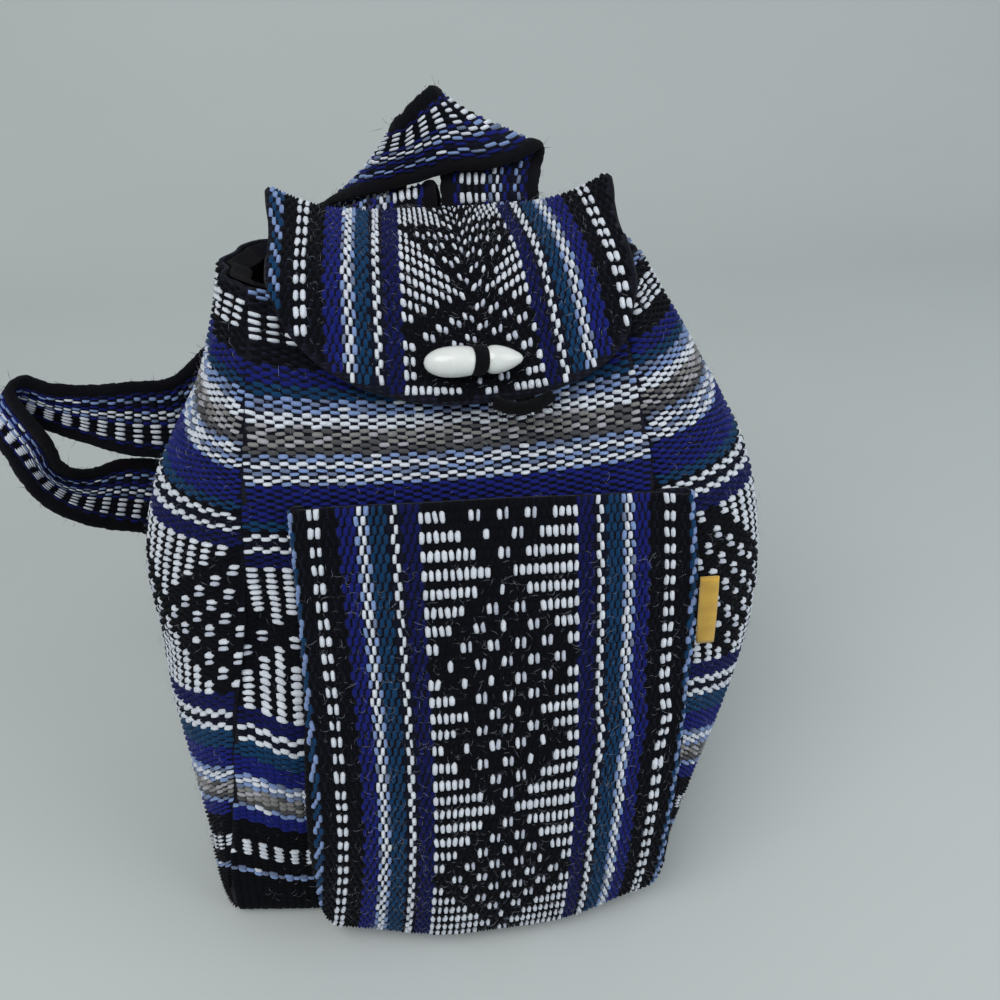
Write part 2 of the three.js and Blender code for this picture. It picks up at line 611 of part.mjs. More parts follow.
// Pocket: a shell open at the top and toward the panel, with its turnings sewn down at the sides
function pocketFace(across, up, inset) {
  const lift = inset * (1 - THREE.MathUtils.smoothstep(up, POCKET_FOOT, POCKET_KNEE));
  const height = smooth(POCKET, 'height', up) * POCKET_HEIGHT + lift;
  const depth = smooth(POCKET, 'depth', up) * POCKET_DEPTH;
  const radius = (depth * (1 - POCKET_CROWN)) / 2;
  const side = across < 0.5 ? -1 : 1;
  const end = Math.min(across, 1 - across);
  const width = (smooth(POCKET, side < 0 ? 'left' : 'right', up) * POCKET_WIDTH) / 2;
  const seam = POCKET_SEWN_WIDTH / 2 - side * (POCKET_CENTRE - POCKET_SEWN_CENTRE);
  let out;
  let stand;
  if (end < POCKET_SIDE) {
    ({ out, stand } = pocketTurn(end / POCKET_SIDE, Math.min(seam, width - radius), radius, width, inset));
  } else {
    const fore = (0.5 - end) / (0.5 - POCKET_SIDE);
    const crown = POCKET_CROWN * THREE.MathUtils.smoothstep(fore, POCKET_FLAT, 1);
    out = (width - radius) * fore;
    stand = depth * (1 - crown) - inset;
  }
  const x = POCKET_CENTRE + side * out;
  const rise = height / BODY_HEIGHT;
  const s = bodySection(rise);
  const place = THREE.MathUtils.clamp((x + s.seamLeft) / (s.seamLeft + s.seamRight), 0, 1);
  const [, y] = BODY_FACES.front_panel(place, rise);
  const dent = dentDepth(POCKET_DENTS, across, up) * (stand / POCKET_DEPTH);
  return [x, y - POCKET_CLEARANCE - stand + dent, height];
}
const pocketLayer = (inset) => grid((u, v) => pocketFace(u, v, inset), POCKET_COLUMNS, POCKET_ROWS);
bag.add(mesh('front_pocket', wall(pocketLayer(0), pocketLayer(POCKET_CLOTH)), cloth('pocket_cloth')));

// Flap: from the back seam over the mouth, corners rounded, ears standing up at the fold
function flapFace(across, along) {
  const side = 2 * across - 1;
  const round = 1 - (1 - Math.abs(side) ** FLAP_ROUNDING) ** (1 / FLAP_ROUNDING);
  const reach = along * (1 - FLAP_CORNER * round);
  const ear = FLAP_EAR * side ** 4 * bump(reach, EAR_AT, EAR_SPREAD);
  const wrap = FLAP_WRAP * side * side * THREE.MathUtils.smoothstep(reach, WRAP_FROM, 1);
  const x = FLAP_SHIFT + (side * FLAP_WIDTH) / 2;
  return [x, smooth(FLAP, 'y', reach) * HALF_DEPTH + wrap, smooth(FLAP, 'z', reach) * BODY_HEIGHT + ear];
}
const flapOuter = grid(flapFace, FLAP_COLUMNS, FLAP_ROWS);
const flapInner = grid((u, v) => offSurface(flapFace, u, v, FLAP_CLOTH).toArray(), FLAP_COLUMNS, FLAP_ROWS);
bag.add(mesh('flap', wall(flapOuter, flapInner), cloth('flap_cloth')));

// Toggle: a turned spindle lying across the front of the flap
const togglePoints = TOGGLE.map(({ at, radius }) => {
  return new THREE.Vector2((radius * TOGGLE_DIAMETER) / 2, (at - 0.5) * TOGGLE_LENGTH);
});
const spindle = new THREE.LatheGeometry(togglePoints, TOGGLE_SIDES);
const toggle = mesh('toggle', spindle, new THREE.MeshStandardMaterial({
  name: 'toggle_paint',
  color: 0xf4f4f2,
  roughness: 0.35,
}));
toggle.rotation.set(0, 0, -Math.PI / 2);
toggle.position.set(TOGGLE_AT.x, TOGGLE_AT.y, TOGGLE_AT.z);
bag.add(toggle);

// Toggle cord: an arch from the flap over the waist of the toggle and back to the flap
function toggleCord() {
  const waist = TOGGLE_AT.x + (WAIST_AT - 0.5) * TOGGLE_LENGTH;
  const reach = (TOGGLE_DIAMETER * WAIST + TOGGLE_CORD_DIAMETER) / 2 + TOGGLE_CLEARANCE;
  const points = [];
  for (let i = 0; i <= ARCH_POINTS; i += 1) {
    const turn = mix(-ARCH_TURN, ARCH_TURN, i / ARCH_POINTS);
    const out = Math.cos(turn) * reach;
    const up = Math.sin(turn) * reach;
    const y = TOGGLE_AT.y - out * Math.cos(FLAP_SLOPE) + up * Math.sin(FLAP_SLOPE);
    const z = TOGGLE_AT.z + out * Math.sin(FLAP_SLOPE) + up * Math.cos(FLAP_SLOPE);
    points.push(new THREE.Vector3(waist, y, z));
  }
  return cord(points, TOGGLE_CORD_DIAMETER, ARCH_STEPS);
}
bag.add(mesh('toggle_cord', toggleCord(), tape('toggle_cord_yarn')));

// Straps: a woven band with a bound edge on each side
function strapFrames(rows, spacing) {
  const unit = new THREE.Vector3(HALF_WIDTH, HALF_DEPTH, BODY_HEIGHT);
  const points = rows.map(({ x, y, z }) => new THREE.Vector3(x, y, z).multiply(unit));
  const centre = new THREE.CatmullRomCurve3(points, false, 'centripetal');
  const steps = Math.round(centre.getLength() / spacing);
  const frames = [];
  for (let i = 0; i <= steps; i += 1) {
    const t = centre.getUtoTmapping(i / steps);
    const place = t * (rows.length - 1);
    const row = Math.min(Math.floor(place), rows.length - 2);
    const share = place - row;
    const a = rows[row];
    const b = rows[row + 1];
    const across = new THREE.Vector3(a.wx, a.wy, a.wz).lerp(new THREE.Vector3(b.wx, b.wy, b.wz), share);
    const along = centre.getTangent(t);
    across.normalize().addScaledVector(along, -across.dot(along) * STRAP_SQUARE).normalize();
    const normal = new THREE.Vector3().crossVectors(along, across).normalize();
    const half = (mix(a.share, b.share, share) * STRAP_WIDTH) / 2;
    frames.push({ point: centre.getPoint(t), across, normal, half });
  }
  return frames;
}

function strip(frames, from, to, thickness) {
  const corners = (frame) => [
    [from(frame.half), thickness / 2],
    [to(frame.half), thickness / 2],
    [to(frame.half), -thickness / 2],
    [from(frame.half), -thickness / 2],
  ];
  const vertices = [];
  const triangles = [];
  frames.forEach((frame, i) => {
    for (const [across, out] of corners(frame)) {
      const point = frame.point.clone().addScaledVector(frame.across, across);
      vertices.push(point.addScaledVector(frame.normal, out).toArray());
    }
    if (i === 0) return;
    for (let j = 0; j < 4; j += 1) {
      const k = (j + 1) % 4;
      const a = (i - 1) * 4;
      const b = i * 4;
      triangles.push([a + j, a + k, b + k], [a + j, b + k, b + j]);
    }
  });
  const end = (frames.length - 1) * 4;
  triangles.push([0, 2, 1], [0, 3, 2], [end, end + 1, end + 2], [end, end + 2, end + 3]);
  return solid(vertices, triangles);
}

for (const [name, rows] of [['strap_left', STRAP_LEFT], ['strap_right', STRAP_RIGHT]]) {
  const frames = strapFrames(rows, STRAP_SPACING);
  const inner = (half) => half - EDGE_WIDTH - EDGE_CLEARANCE;
  const edge = (half) => half - EDGE_WIDTH;
  bag.add(mesh(name, strip(frames, (half) => -inner(half), inner, STRAP_CLOTH), cloth(`${name}_cloth`)));
  const sideA = strip(frames, edge, (half) => half, EDGE_THICKNESS);
  const sideB = strip(frames, (half) => -half, (half) => -edge(half), EDGE_THICKNESS);
  bag.add(mesh(`${name}_edge_a`, sideA, tape(`${name}_edge_a_tape`)));
  bag.add(mesh(`${name}_edge_b`, sideB, tape(`${name}_edge_b_tape`)));
}

// Side tab caught in the right side of the pocket
const tabCloth = new THREE.BoxGeometry(TAB_WIDTH, TAB_THICKNESS, TAB_HEIGHT);
const tab = mesh('side_tab', tabCloth, new THREE.MeshStandardMaterial({
  name: 'tab_cloth',
  color: 0xd9a520,
  roughness: 0.8,
}));
function pocketSide(y, z) {
  const off = (point) => Math.hypot(point[1] - y, point[2] - z);
  const side = grid((u, v) => pocketFace(mix(0.5, 1, u), v, 0), TAB_SEARCH, TAB_SEARCH).flat();
  return side.reduce((best, point) => (off(point) < off(best) ? point : best))[0];
}
const tabFoot = [-1, 0, 1].flatMap((end) => {
  return [-1, 1].map((face) => pocketSide(TAB_Y + face * TAB_THICKNESS, TAB_Z + (end * TAB_HEIGHT) / 2));
});
tab.position.set(Math.max(...tabFoot) + TAB_CLEARANCE + TAB_WIDTH / 2, TAB_Y, TAB_Z);
bag.add(tab);

export default bag;
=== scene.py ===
import bpy
import bmesh
import math
import numpy as np
from mathutils import Matrix, Vector, noise


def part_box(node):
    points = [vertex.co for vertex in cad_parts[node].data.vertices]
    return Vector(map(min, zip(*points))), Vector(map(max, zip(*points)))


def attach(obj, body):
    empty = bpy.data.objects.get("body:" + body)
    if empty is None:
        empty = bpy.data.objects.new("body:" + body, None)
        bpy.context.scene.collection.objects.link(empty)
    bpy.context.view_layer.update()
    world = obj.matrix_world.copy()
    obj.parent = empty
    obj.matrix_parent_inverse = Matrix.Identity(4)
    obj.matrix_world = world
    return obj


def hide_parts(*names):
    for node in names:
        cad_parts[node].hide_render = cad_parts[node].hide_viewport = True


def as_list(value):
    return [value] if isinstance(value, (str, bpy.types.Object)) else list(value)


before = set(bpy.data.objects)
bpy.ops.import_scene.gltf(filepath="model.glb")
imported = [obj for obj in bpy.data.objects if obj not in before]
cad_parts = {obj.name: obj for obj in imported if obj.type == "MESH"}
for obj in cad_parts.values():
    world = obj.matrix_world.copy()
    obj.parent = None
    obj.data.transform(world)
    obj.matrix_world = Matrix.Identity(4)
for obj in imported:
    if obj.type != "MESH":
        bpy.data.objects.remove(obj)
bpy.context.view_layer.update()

# Floor, soft light and camera.
# The bag stands on a plain pale floor that curves up behind it, under one large soft window light.
# The camera looks down on it by 36 degrees, a little from its left, as in the photograph.
FLOOR_COLOUR = (0.50, 0.53, 0.53)
SWEEP_AT, SWEEP_ROUND = 0.55, 0.35
CAMERA_AT = (-0.0167, -0.2815, 0.3664)
CAMERA_LOOKS = (0.0986, 0.8030, -0.5878)


def dial(node, **values):
    """Sets a node's inputs by name, with _ for a space."""
    for name, value in values.items():
        node.inputs[name.replace("_", " ")].default_value = value
    return node


def surface(name, colour, roughness, **finish):
    made = bpy.data.materials.new(name)
    made.use_nodes = True
    shader = made.node_tree.nodes["Principled BSDF"]
    dial(shader, Base_Color=(*colour, 1), Roughness=roughness, **finish)
    return made, made.node_tree.nodes, made.node_tree.links, shader


def texture(nodes, links, kind, **values):
    """A texture laid on the piece's own place."""
    made = dial(nodes.new("ShaderNodeTex" + kind), **values)
    links.new(nodes.new("ShaderNodeTexCoord").outputs["Object"], made.inputs["Vector"])
    return made


def colour_mix(nodes, blend, **values):
    made = nodes.new("ShaderNodeMix")
    made.data_type = "RGBA"
    made.blend_type = blend
    return dial(made, **values)


def two_tone(nodes, links, share, dark, light):
    tone = colour_mix(nodes, "MIX", A=(*dark, 1), B=(*light, 1))
    links.new(share, tone.inputs["Factor"])
    return tone.outputs["Result"]


def shaded(nodes, links, under, over, factor=1.0):
    shade = colour_mix(nodes, "MULTIPLY", Factor=factor)
    links.new(under, shade.inputs["A"])
    links.new(over, shade.inputs["B"])
    return shade.outputs["Result"]


def relief(nodes, links, shader, height, strength, distance):
    pressed = dial(nodes.new("ShaderNodeBump"), Strength=strength, Distance=distance)
    links.new(height, pressed.inputs["Height"])
    links.new(pressed.outputs["Normal"], shader.inputs["Normal"])


def new_piece(name, vertices, faces, materials, face_materials=None):
    mesh = bpy.data.meshes.new(name)
    vertices = np.asarray(vertices, np.float32).reshape(-1, 3)
    mesh.vertices.add(len(vertices))
    mesh.vertices.foreach_set("co", vertices.ravel())
    faces = np.asarray(faces, np.int32)
    sides = faces.shape[1]
    mesh.loops.add(faces.size)
    mesh.loops.foreach_set("vertex_index", faces.ravel())
    mesh.polygons.add(len(faces))
    mesh.polygons.foreach_set("loop_start", np.arange(len(faces), dtype=np.int32) * sides)
    mesh.polygons.foreach_set("loop_total", np.full(len(faces), sides, np.int32))
    for material in materials:
        mesh.materials.append(material)
    if face_materials is not None:
        mesh.polygons.foreach_set("material_index", np.asarray(face_materials, np.int32))
    mesh.polygons.foreach_set("use_smooth", np.ones(len(faces), bool))
    mesh.update(calc_edges=True)
    mesh.validate()
    piece = bpy.data.objects.new(name, mesh)
    bpy.context.scene.collection.objects.link(piece)
    return piece


def floor_sweep():
    line = [(-1.6, 0.0), (SWEEP_AT, 0.0)]
    for t in np.linspace(0.1, math.pi / 2, 14):
        line.append((SWEEP_AT + SWEEP_ROUND * math.sin(t), SWEEP_ROUND - SWEEP_ROUND * math.cos(t)))
    line.append((0.90, 2.2))
    vertices = [(x, y, z - 0.0004) for y, z in line for x in (-2.2, 2.2)]
    faces = [(2 * i, 2 * i + 1, 2 * i + 3, 2 * i + 2) for i in range(len(line) - 1)]
    paper, nodes, links, shader = surface("pale_floor", FLOOR_COLOUR, 0.75)
    grain = dial(nodes.new("ShaderNodeTexNoise"), Scale=9.0, Detail=5.0)
    tone = dial(nodes.new("ShaderNodeMapRange"), To_Min=0.92, To_Max=1.06)
    shade = colour_mix(nodes, "MULTIPLY", Factor=1.0, A=(*FLOOR_COLOUR, 1))
    links.new(grain.outputs["Fac"], tone.inputs["Value"])
    links.new(tone.outputs["Result"], shade.inputs["B"])
    links.new(shade.outputs["Result"], shader.inputs["Base Color"])
    return new_piece("floor", vertices, faces, [paper])


floor_sweep()


def soft_light(name, place, toward, size, power, colour):
    lamp = bpy.data.lights.new(name, "AREA")
    lamp.shape = "RECTANGLE"
    lamp.size, lamp.size_y = size
    lamp.energy = power
    lamp.color = colour
    lit = bpy.data.objects.new(name, lamp)
    lit.location = place
    lit.rotation_euler = (Vector(toward) - Vector(place)).to_track_quat("-Z", "Y").to_euler()
    bpy.context.scene.collection.objects.link(lit)


soft_light("window", (-0.55, -0.65, 1.35), (0.0, 0.0, 0.10), (1.1, 0.9), 12.5, (1.0, 0.99, 0.97))
soft_light("fill", (0.9, -0.5, 0.7), (0.0, 0.0, 0.12), (0.9, 0.9), 5.0, (0.95, 0.98, 1.0))
sky = bpy.data.worlds.new("sky")
sky.use_nodes = True
sky.node_tree.nodes["Background"].inputs["Color"].default_value = (0.86, 0.93, 0.95, 1)
sky.node_tree.nodes["Background"].inputs["Strength"].default_value = 0.50
bpy.context.scene.world = sky
bpy.context.scene.view_settings.view_transform = "Standard"

forward = Vector(CAMERA_LOOKS).normalized()
right = forward.cross(Vector((0, 0, 1))).normalized()
up = right.cross(forward)
lens = bpy.data.cameras.new("camera")
lens.lens = 36
lens.sensor_width = 36
lens.clip_start = 0.01
camera = bpy.data.objects.new("camera", lens)
camera.matrix_world = Matrix.Translation(CAMERA_AT) @ Matrix((right, up, -forward)).transposed().to_4x4()
bpy.context.scene.collection.objects.link(camera)
bpy.context.scene.camera = camera

# Body: front, back and two gussets of one striped cotton cloth, woven with its stripes level.
# Thick coloured warps cover a dark weft, so the face is close-set floats in brick order.
# The panels are sewn together at the corners and to the bottom, and gathered at the mouth.
MM = 0.001
HEIGHT, HALF_WIDTH, HALF_DEPTH = 240.0, 103.0, 52.0
CLOTH, UNDER_FLOATS = 1.8, 0.3
FRONT_BOW, BACK_BOW = 5.0, 3.0
GUSSET_FULLNESS = 0.68
PITCH = 1.07
PERIOD = 6.2
BODY_PERIOD = 5.7
LUMP = 0.95


def table(columns, rows):
    values = np.array(rows, float)
    return {name: values[:, i] for i, name in enumerate(columns.split())}


BODY = table("at left right seam_left seam_right front back back_seam", [
    (0.00, 0.945, 0.800, 0.885, 0.73, -0.940, 0.96, 0.80),
    (0.04, 0.975, 0.850, 0.900, 0.75, -1.000, 0.98, 0.81),
    (0.17, 0.990, 0.960, 0.860, 0.75, -1.050, 1.00, 0.79),
    (0.29, 1.010, 1.050, 0.810, 0.74, -1.038, 1.02, 0.76),
    (0.44, 1.035, 1.125, 0.755, 0.71, -0.942, 1.04, 0.72),
    (0.58, 1.040, 1.120, 0.685, 0.67, -0.788, 1.04, 0.69),
    (0.71, 0.965, 1.050, 0.650, 0.64, -0.635, 1.04, 0.66),
    (0.79, 0.870, 0.965, 0.630, 0.62, -0.519, 1.03, 0.64),
    (0.85, 0.790, 0.875, 0.610, 0.59, -0.404, 1.02, 0.61),
    (0.91, 0.725, 0.780, 0.590, 0.57, -0.231, 1.01, 0.59),
    (0.96, 0.685, 0.700, 0.575, 0.55, -0.038, 1.00, 0.57),
    (1.00, 0.665, 0.640, 0.565, 0.54, 0.115, 1.00, 0.56),
])
BODY_DENTS = {
    "front_panel": [(0.05, 0.57, 0.06, 0.10, 3.2), (0.11, 0.47, 0.05, 0.11, -2.0)],
    "left_gusset": [
        (0.70, 0.50, 0.14, 0.07, 3.0), (0.45, 0.17, 0.30, 0.04, 3.5), (0.60, 0.83, 0.20, 0.06, 2.0),
    ],
    "right_gusset": [(0.40, 0.80, 0.20, 0.07, 2.5), (0.45, 0.22, 0.30, 0.05, 2.5)],
    "back_panel": [(0.35, 0.45, 0.25, 0.12, 2.5)],
}


def curve(rows, column, share):
    at, value = rows["at"], rows[column]
    share = np.asarray(share, float)
    last = len(at) - 1
    i = np.clip(np.searchsorted(at, share) - 1, 0, last - 1)
    span = at[i + 1] - at[i]
    t = (share - at[i]) / span
    step = value[i + 1] - value[i]
    before, after = np.maximum(i - 1, 0), np.minimum(i + 2, last)
    rise = (value[i + 1] - value[before]) / (at[i + 1] - at[before]) * span
    fall = (value[after] - value[i]) / (at[after] - at[i]) * span
    rise = np.where(i > 0, rise, step)
    fall = np.where(i < last - 1, fall, step)
    t2, t3 = t * t, t * t * t
    start = (2 * t3 - 3 * t2 + 1) * value[i] + (t3 - 2 * t2 + t) * rise
    return start + (3 * t2 - 2 * t3) * value[i + 1] + (t3 - t2) * fall


def blend_in(value, low, high):
    t = np.clip((value - low) / (high - low), 0, 1)
    return t * t * (3 - 2 * t)


def bump(value, centre, width):
    return np.exp(-(((value - centre) / width) ** 2))


def dents(rows, across, rise):
    return sum(deep * bump(across, at, wide) * bump(rise, high, tall) for at, high, wide, tall, deep in rows)


def body_face(name, a, rise):
    s = {column: curve(BODY, column, rise) for column in BODY if column != "at"}
    z = rise * HEIGHT
    side = 2 * a - 1
    dent = dents(BODY_DENTS[name], a, rise)
    front = s["front"] * HALF_DEPTH
    back = s["back"] * HALF_DEPTH
    if name == "front_panel":
        x = (-s["seam_left"] * (1 - a) + s["seam_right"] * a) * HALF_WIDTH
        dip = 7.0 * blend_in(rise, 0.8, 1) * (1 - side * side)
        return np.stack([x, front + FRONT_BOW * side * side + dent, z - dip], -1)
    if name == "back_panel":
        x = s["back_seam"] * (1 - 2 * a) * HALF_WIDTH
        return np.stack([x, back - BACK_BOW * side * side - dent, z], -1)
    swell = np.sin(np.pi * np.clip(a, 0, 1)) ** GUSSET_FULLNESS
    gather = 1.3 * blend_in(rise, 0.84, 1) * np.sin(a * 6 * np.pi)
    if name == "right_gusset":
        first, last, out, sign = s["seam_right"], s["back_seam"], s["right"], 1
        y = (front + FRONT_BOW) * (1 - a) + (back - BACK_BOW) * a
    else:
        first, last, out, sign = s["back_seam"], s["seam_left"], s["left"], -1
        y = (back - BACK_BOW) * (1 - a) + (front + FRONT_BOW) * a
    middle = (out - (first + last) / 2) * HALF_WIDTH
    x = (first * (1 - a) + last * a) * HALF_WIDTH + middle * swell + (gather - dent) * swell
    return np.stack([sign * x, y, z], -1)


def turned_out(face, a, b, out):
    """Points at a distance off a surface, along its normal."""
    step = 1e-3
    low_a, high_a = np.clip(a - step, 0, 1), np.clip(a + step, 0, 1)
    low_b, high_b = np.clip(b - step, 0, 1), np.clip(b + step, 0, 1)
    along_a = face(high_a, b) - face(low_a, b)
    along_b = face(a, high_b) - face(a, low_b)
    normal = np.cross(along_a, along_b)
    normal /= np.maximum(np.linalg.norm(normal, axis=-1, keepdims=True), 1e-9)
    return face(a, b) + normal * np.asarray(out)[..., None]


def between(grid, rise, column):
    """Values between the points of a grid: rise is 0 to 1 up its rows, column counts its columns."""
    r = np.clip(rise, 0, 1) * (len(grid) - 1)
    c = np.clip(column, 0, grid.shape[1] - 1.001)
    r0, c0 = np.minimum(r.astype(int), len(grid) - 2), c.astype(int)
    fr, fc = r - r0, c - c0
    top = grid[r0, c0] * (1 - fc) + grid[r0, c0 + 1] * fc
    low = grid[r0 + 1, c0] * (1 - fc) + grid[r0 + 1, c0 + 1] * fc
    return top * (1 - fr) + low * fr


def ways(points, axis):
    """Distance along each line of a grid of points, from its start."""
    step = np.linalg.norm(np.diff(points, axis=axis), axis=-1)
    return np.insert(np.cumsum(step, axis=axis), 0, 0, axis=axis)


# Yarns: spun cotton, a little fuzzy, each dyed lot uneven.
YARNS = {
    "black": ((0.0042, 0.0044, 0.0066), 0.10),
    "night": ((0.0060, 0.0075, 0.0190), 0.15),
    "navy": ((0.0062, 0.0090, 0.0800), 0.25),
    "royal": ((0.0088, 0.0145, 0.1600), 0.30),
    "teal": ((0.0062, 0.0440, 0.1200), 0.30),
    "light": ((0.215, 0.310, 0.570), 0.80),
    "grey": ((0.150, 0.195, 0.320), 0.80),
    "stone": ((0.400, 0.390, 0.430), 0.80),
    "olive": ((0.235, 0.230, 0.225), 0.70),
    "soot": ((0.085, 0.084, 0.090), 0.40),
    "white": ((0.700, 0.740, 0.860), 1.00),
    "fleck": ((0.520, 0.555, 0.660), 1.00),
}
# Lots spun from mixed fibre: the chance that a float of one yarn is another yarn.
MIXED = {
    "olive": (("soot", 0.22), ("stone", 0.22)), "stone": (("white", 0.40), ("olive", 0.15)),
    "grey": (("light", 0.30), ("white", 0.10)), "light": (("grey", 0.22), ("white", 0.08)),
}
YARN_NAMES = list(YARNS)


def yarn_material(name, colour, fuzz):
    made, nodes, links, shader = surface(
        "yarn_" + name, colour, 0.92, Sheen_Weight=0.25 * fuzz, Sheen_Roughness=0.5,
        Sheen_Tint=(0.9, 0.93, 1.0, 1), Specular_IOR_Level=0.04 + 0.2 * fuzz,
    )
    patch = texture(nodes, links, "Noise", Scale=180.0, Detail=3.0)
    fibre = texture(nodes, links, "Noise", Scale=2600.0, Detail=4.0, Roughness=0.7)
    pale = [min(c * 1.25, 1.0) for c in colour]
    heather = two_tone(nodes, links, patch.outputs["Fac"], [c * 0.72 for c in colour], pale)
    tone = dial(nodes.new("ShaderNodeMapRange"), From_Min=0.3, From_Max=0.7, To_Min=0.62, To_Max=1.12)
    links.new(fibre.outputs["Fac"], tone.inputs["Value"])
    links.new(shaded(nodes, links, heather, tone.outputs["Result"]), shader.inputs["Base Color"])
    relief(nodes, links, shader, fibre.outputs["Fac"], 0.55, 0.00025)
    return made


yarn_materials = [yarn_material(name, *YARNS[name]) for name in YARN_NAMES]
LIGHT_YARNS = [YARN_NAMES.index(name) for name in ("light", "grey", "stone", "olive", "white", "fleck")]


def stripe_columns(stripes):
    """Yarn name of each warp, from a list of (count, name)."""
    return [name for count, name in stripes for _ in range(count)]


# One float of warp yarn: a low blunt lump that dives under the weft at both ends.
def lump_shape(across, along):
    x, y = np.meshgrid(across, along)
    narrow = 1 - 0.30 * np.abs(y) ** 6
    height = np.sqrt(np.clip(1 - x ** 2, 0, 1)) * (1 - np.abs(y) ** 5)
    columns = len(across)
    faces = []
    for r in range(len(along) - 1):
        for c in range(columns - 1):
            first = r * columns + c
            faces.append((first, first + 1, first + columns + 1, first + columns))
    return (x * narrow).ravel(), y.ravel(), height.ravel(), np.array(faces)


LIGHT_LUMP = lump_shape((-1, -0.55, 0.55, 1), (-1, -0.86, -0.5, 0, 0.5, 0.86, 1))
DARK_LUMP = lump_shape((-1, 0, 1), (-1, -0.6, 0.6, 1))
SINK = 0.34
draw = np.random.default_rng(11)


def float_sizes(stripes, k, yarns):
    """Half width and half length: a float among dark ones spreads, close-set ones stay neat bricks."""
    alone = np.isin(np.array(stripes)[k], ("four", "dots", "figure"))
    bright = np.isin(yarns, LIGHT_YARNS)
    wide = np.where(alone, np.where(bright, 0.76, 0.90), np.where(bright, 0.64, 0.70))
    wide = np.where(yarns == YARN_NAMES.index("fleck"), 0.62, wide)
    long = np.where(alone, np.where(bright, 1.95, 2.10), np.where(bright, 1.62, 1.78))
    return wide, long


def woven(name, place, where, yarns, sizes, flip=False):
    """Floats at cloth places (p along the warp, q across), one yarn each, joined in one piece."""
    p, q = where
    wide, long = sizes
    count = len(p)
    parts_v, parts_f, parts_m = [], [], []
    base = 0
    bright = np.isin(yarns, LIGHT_YARNS)
    jog = draw.normal(0, 1, (5, count))
    for mask, shape, full in ((bright, LIGHT_LUMP, 1.0), (~bright, DARK_LUMP, 0.92)):
        if not mask.any():
            continue
        x, y, h, faces = shape
        n = int(mask.sum())
        j = jog[:, mask]
        half_wide = (wide[mask] * (1 + 0.10 * j[0]))[:, None]
        half_long = (long[mask] * (1 + 0.07 * j[1]))[:, None]
        turn = (0.06 * j[2])[:, None]
        along = y[None] * half_long
        across = x[None] * half_wide
        dp = along - across * turn
        dq = across + along * turn
        swell = LUMP * (1 + 0.10 * j[3])[:, None] * full
        out = h[None] * (swell + SINK) - SINK
        points = place(p[mask][:, None] + dp + 0.10 * j[4][:, None], q[mask][:, None] + dq, out)
        parts_v.append(points.reshape(-1, 3))
        block = faces[None] + (np.arange(n) * len(x))[:, None, None] + base
        parts_f.append(block.reshape(-1, 4))
        parts_m.append(np.repeat(yarns[mask], len(faces)))
        base += n * len(x)
    faces = np.concatenate(parts_f)
    if flip:
        faces = faces[:, ::-1]
    return new_piece(name, np.concatenate(parts_v) * MM, faces, yarn_materials, np.concatenate(parts_m))


def closed_wall(name, outer, inner, material):
    """A sheet of cloth with its own thickness, from an outer and an inner grid of points."""
    rows, columns = outer.shape[:2]
    vertices = np.concatenate([outer.reshape(-1, 3), inner.reshape(-1, 3)]) * MM
    at = np.arange(rows * columns).reshape(rows, columns)
    back = at + rows * columns

    def quads(a, b, c, d):
        return np.stack([a.ravel(), b.ravel(), c.ravel(), d.ravel()], -1)

    faces = [quads(at[:-1, :-1], at[:-1, 1:], at[1:, 1:], at[1:, :-1])]
    faces.append(quads(back[:-1, :-1], back[1:, :-1], back[1:, 1:], back[:-1, 1:]))
    faces.append(quads(at[0, :-1], back[0, :-1], back[0, 1:], at[0, 1:]))
    faces.append(quads(at[-1, 1:], back[-1, 1:], back[-1, :-1], at[-1, :-1]))
    faces.append(quads(at[1:, 0], back[1:, 0], back[:-1, 0], at[:-1, 0]))
    faces.append(quads(at[:-1, -1], back[:-1, -1], back[1:, -1], at[1:, -1]))
    return new_piece(name, vertices, np.concatenate(faces), [material])


def ground_material():
    made, nodes, links, shader = surface(
        "ground_cloth", (0.012, 0.013, 0.028), 0.95, Sheen_Weight=0.05, Specular_IOR_Level=0.05,
    )
    thread = texture(nodes, links, "Wave", Scale=290.0, Distortion=1.5)
    thread.bands_direction = "Z"
    weft = texture(nodes, links, "Wave", Scale=100.0, Distortion=2.0)
    weft.bands_direction = "X"
    both = nodes.new("ShaderNodeMath")
    both.operation = "MULTIPLY"
    links.new(thread.outputs["Fac"], both.inputs[0])
    links.new(weft.outputs["Fac"], both.inputs[1])
    tone = two_tone(nodes, links, both.outputs["Value"], (0.006, 0.006, 0.010), (0.012, 0.014, 0.028))
    links.new(tone, shader.inputs["Base Color"])
    relief(nodes, links, shader, both.outputs["Value"], 0.6, 0.0004)
    return made


ground = ground_material()


def cloth_of(name, face, columns, rows, top, under):
    """The dark cloth below the floats, between two distances off its surface."""
    a, b = np.meshgrid(np.linspace(0, 1, columns), np.linspace(0, 1, rows))
    outer, inner = [turned_out(face, a, b, np.full(a.shape, away)) for away in (top, under)]
    return closed_wall(name + "_cloth", outer, inner, ground)


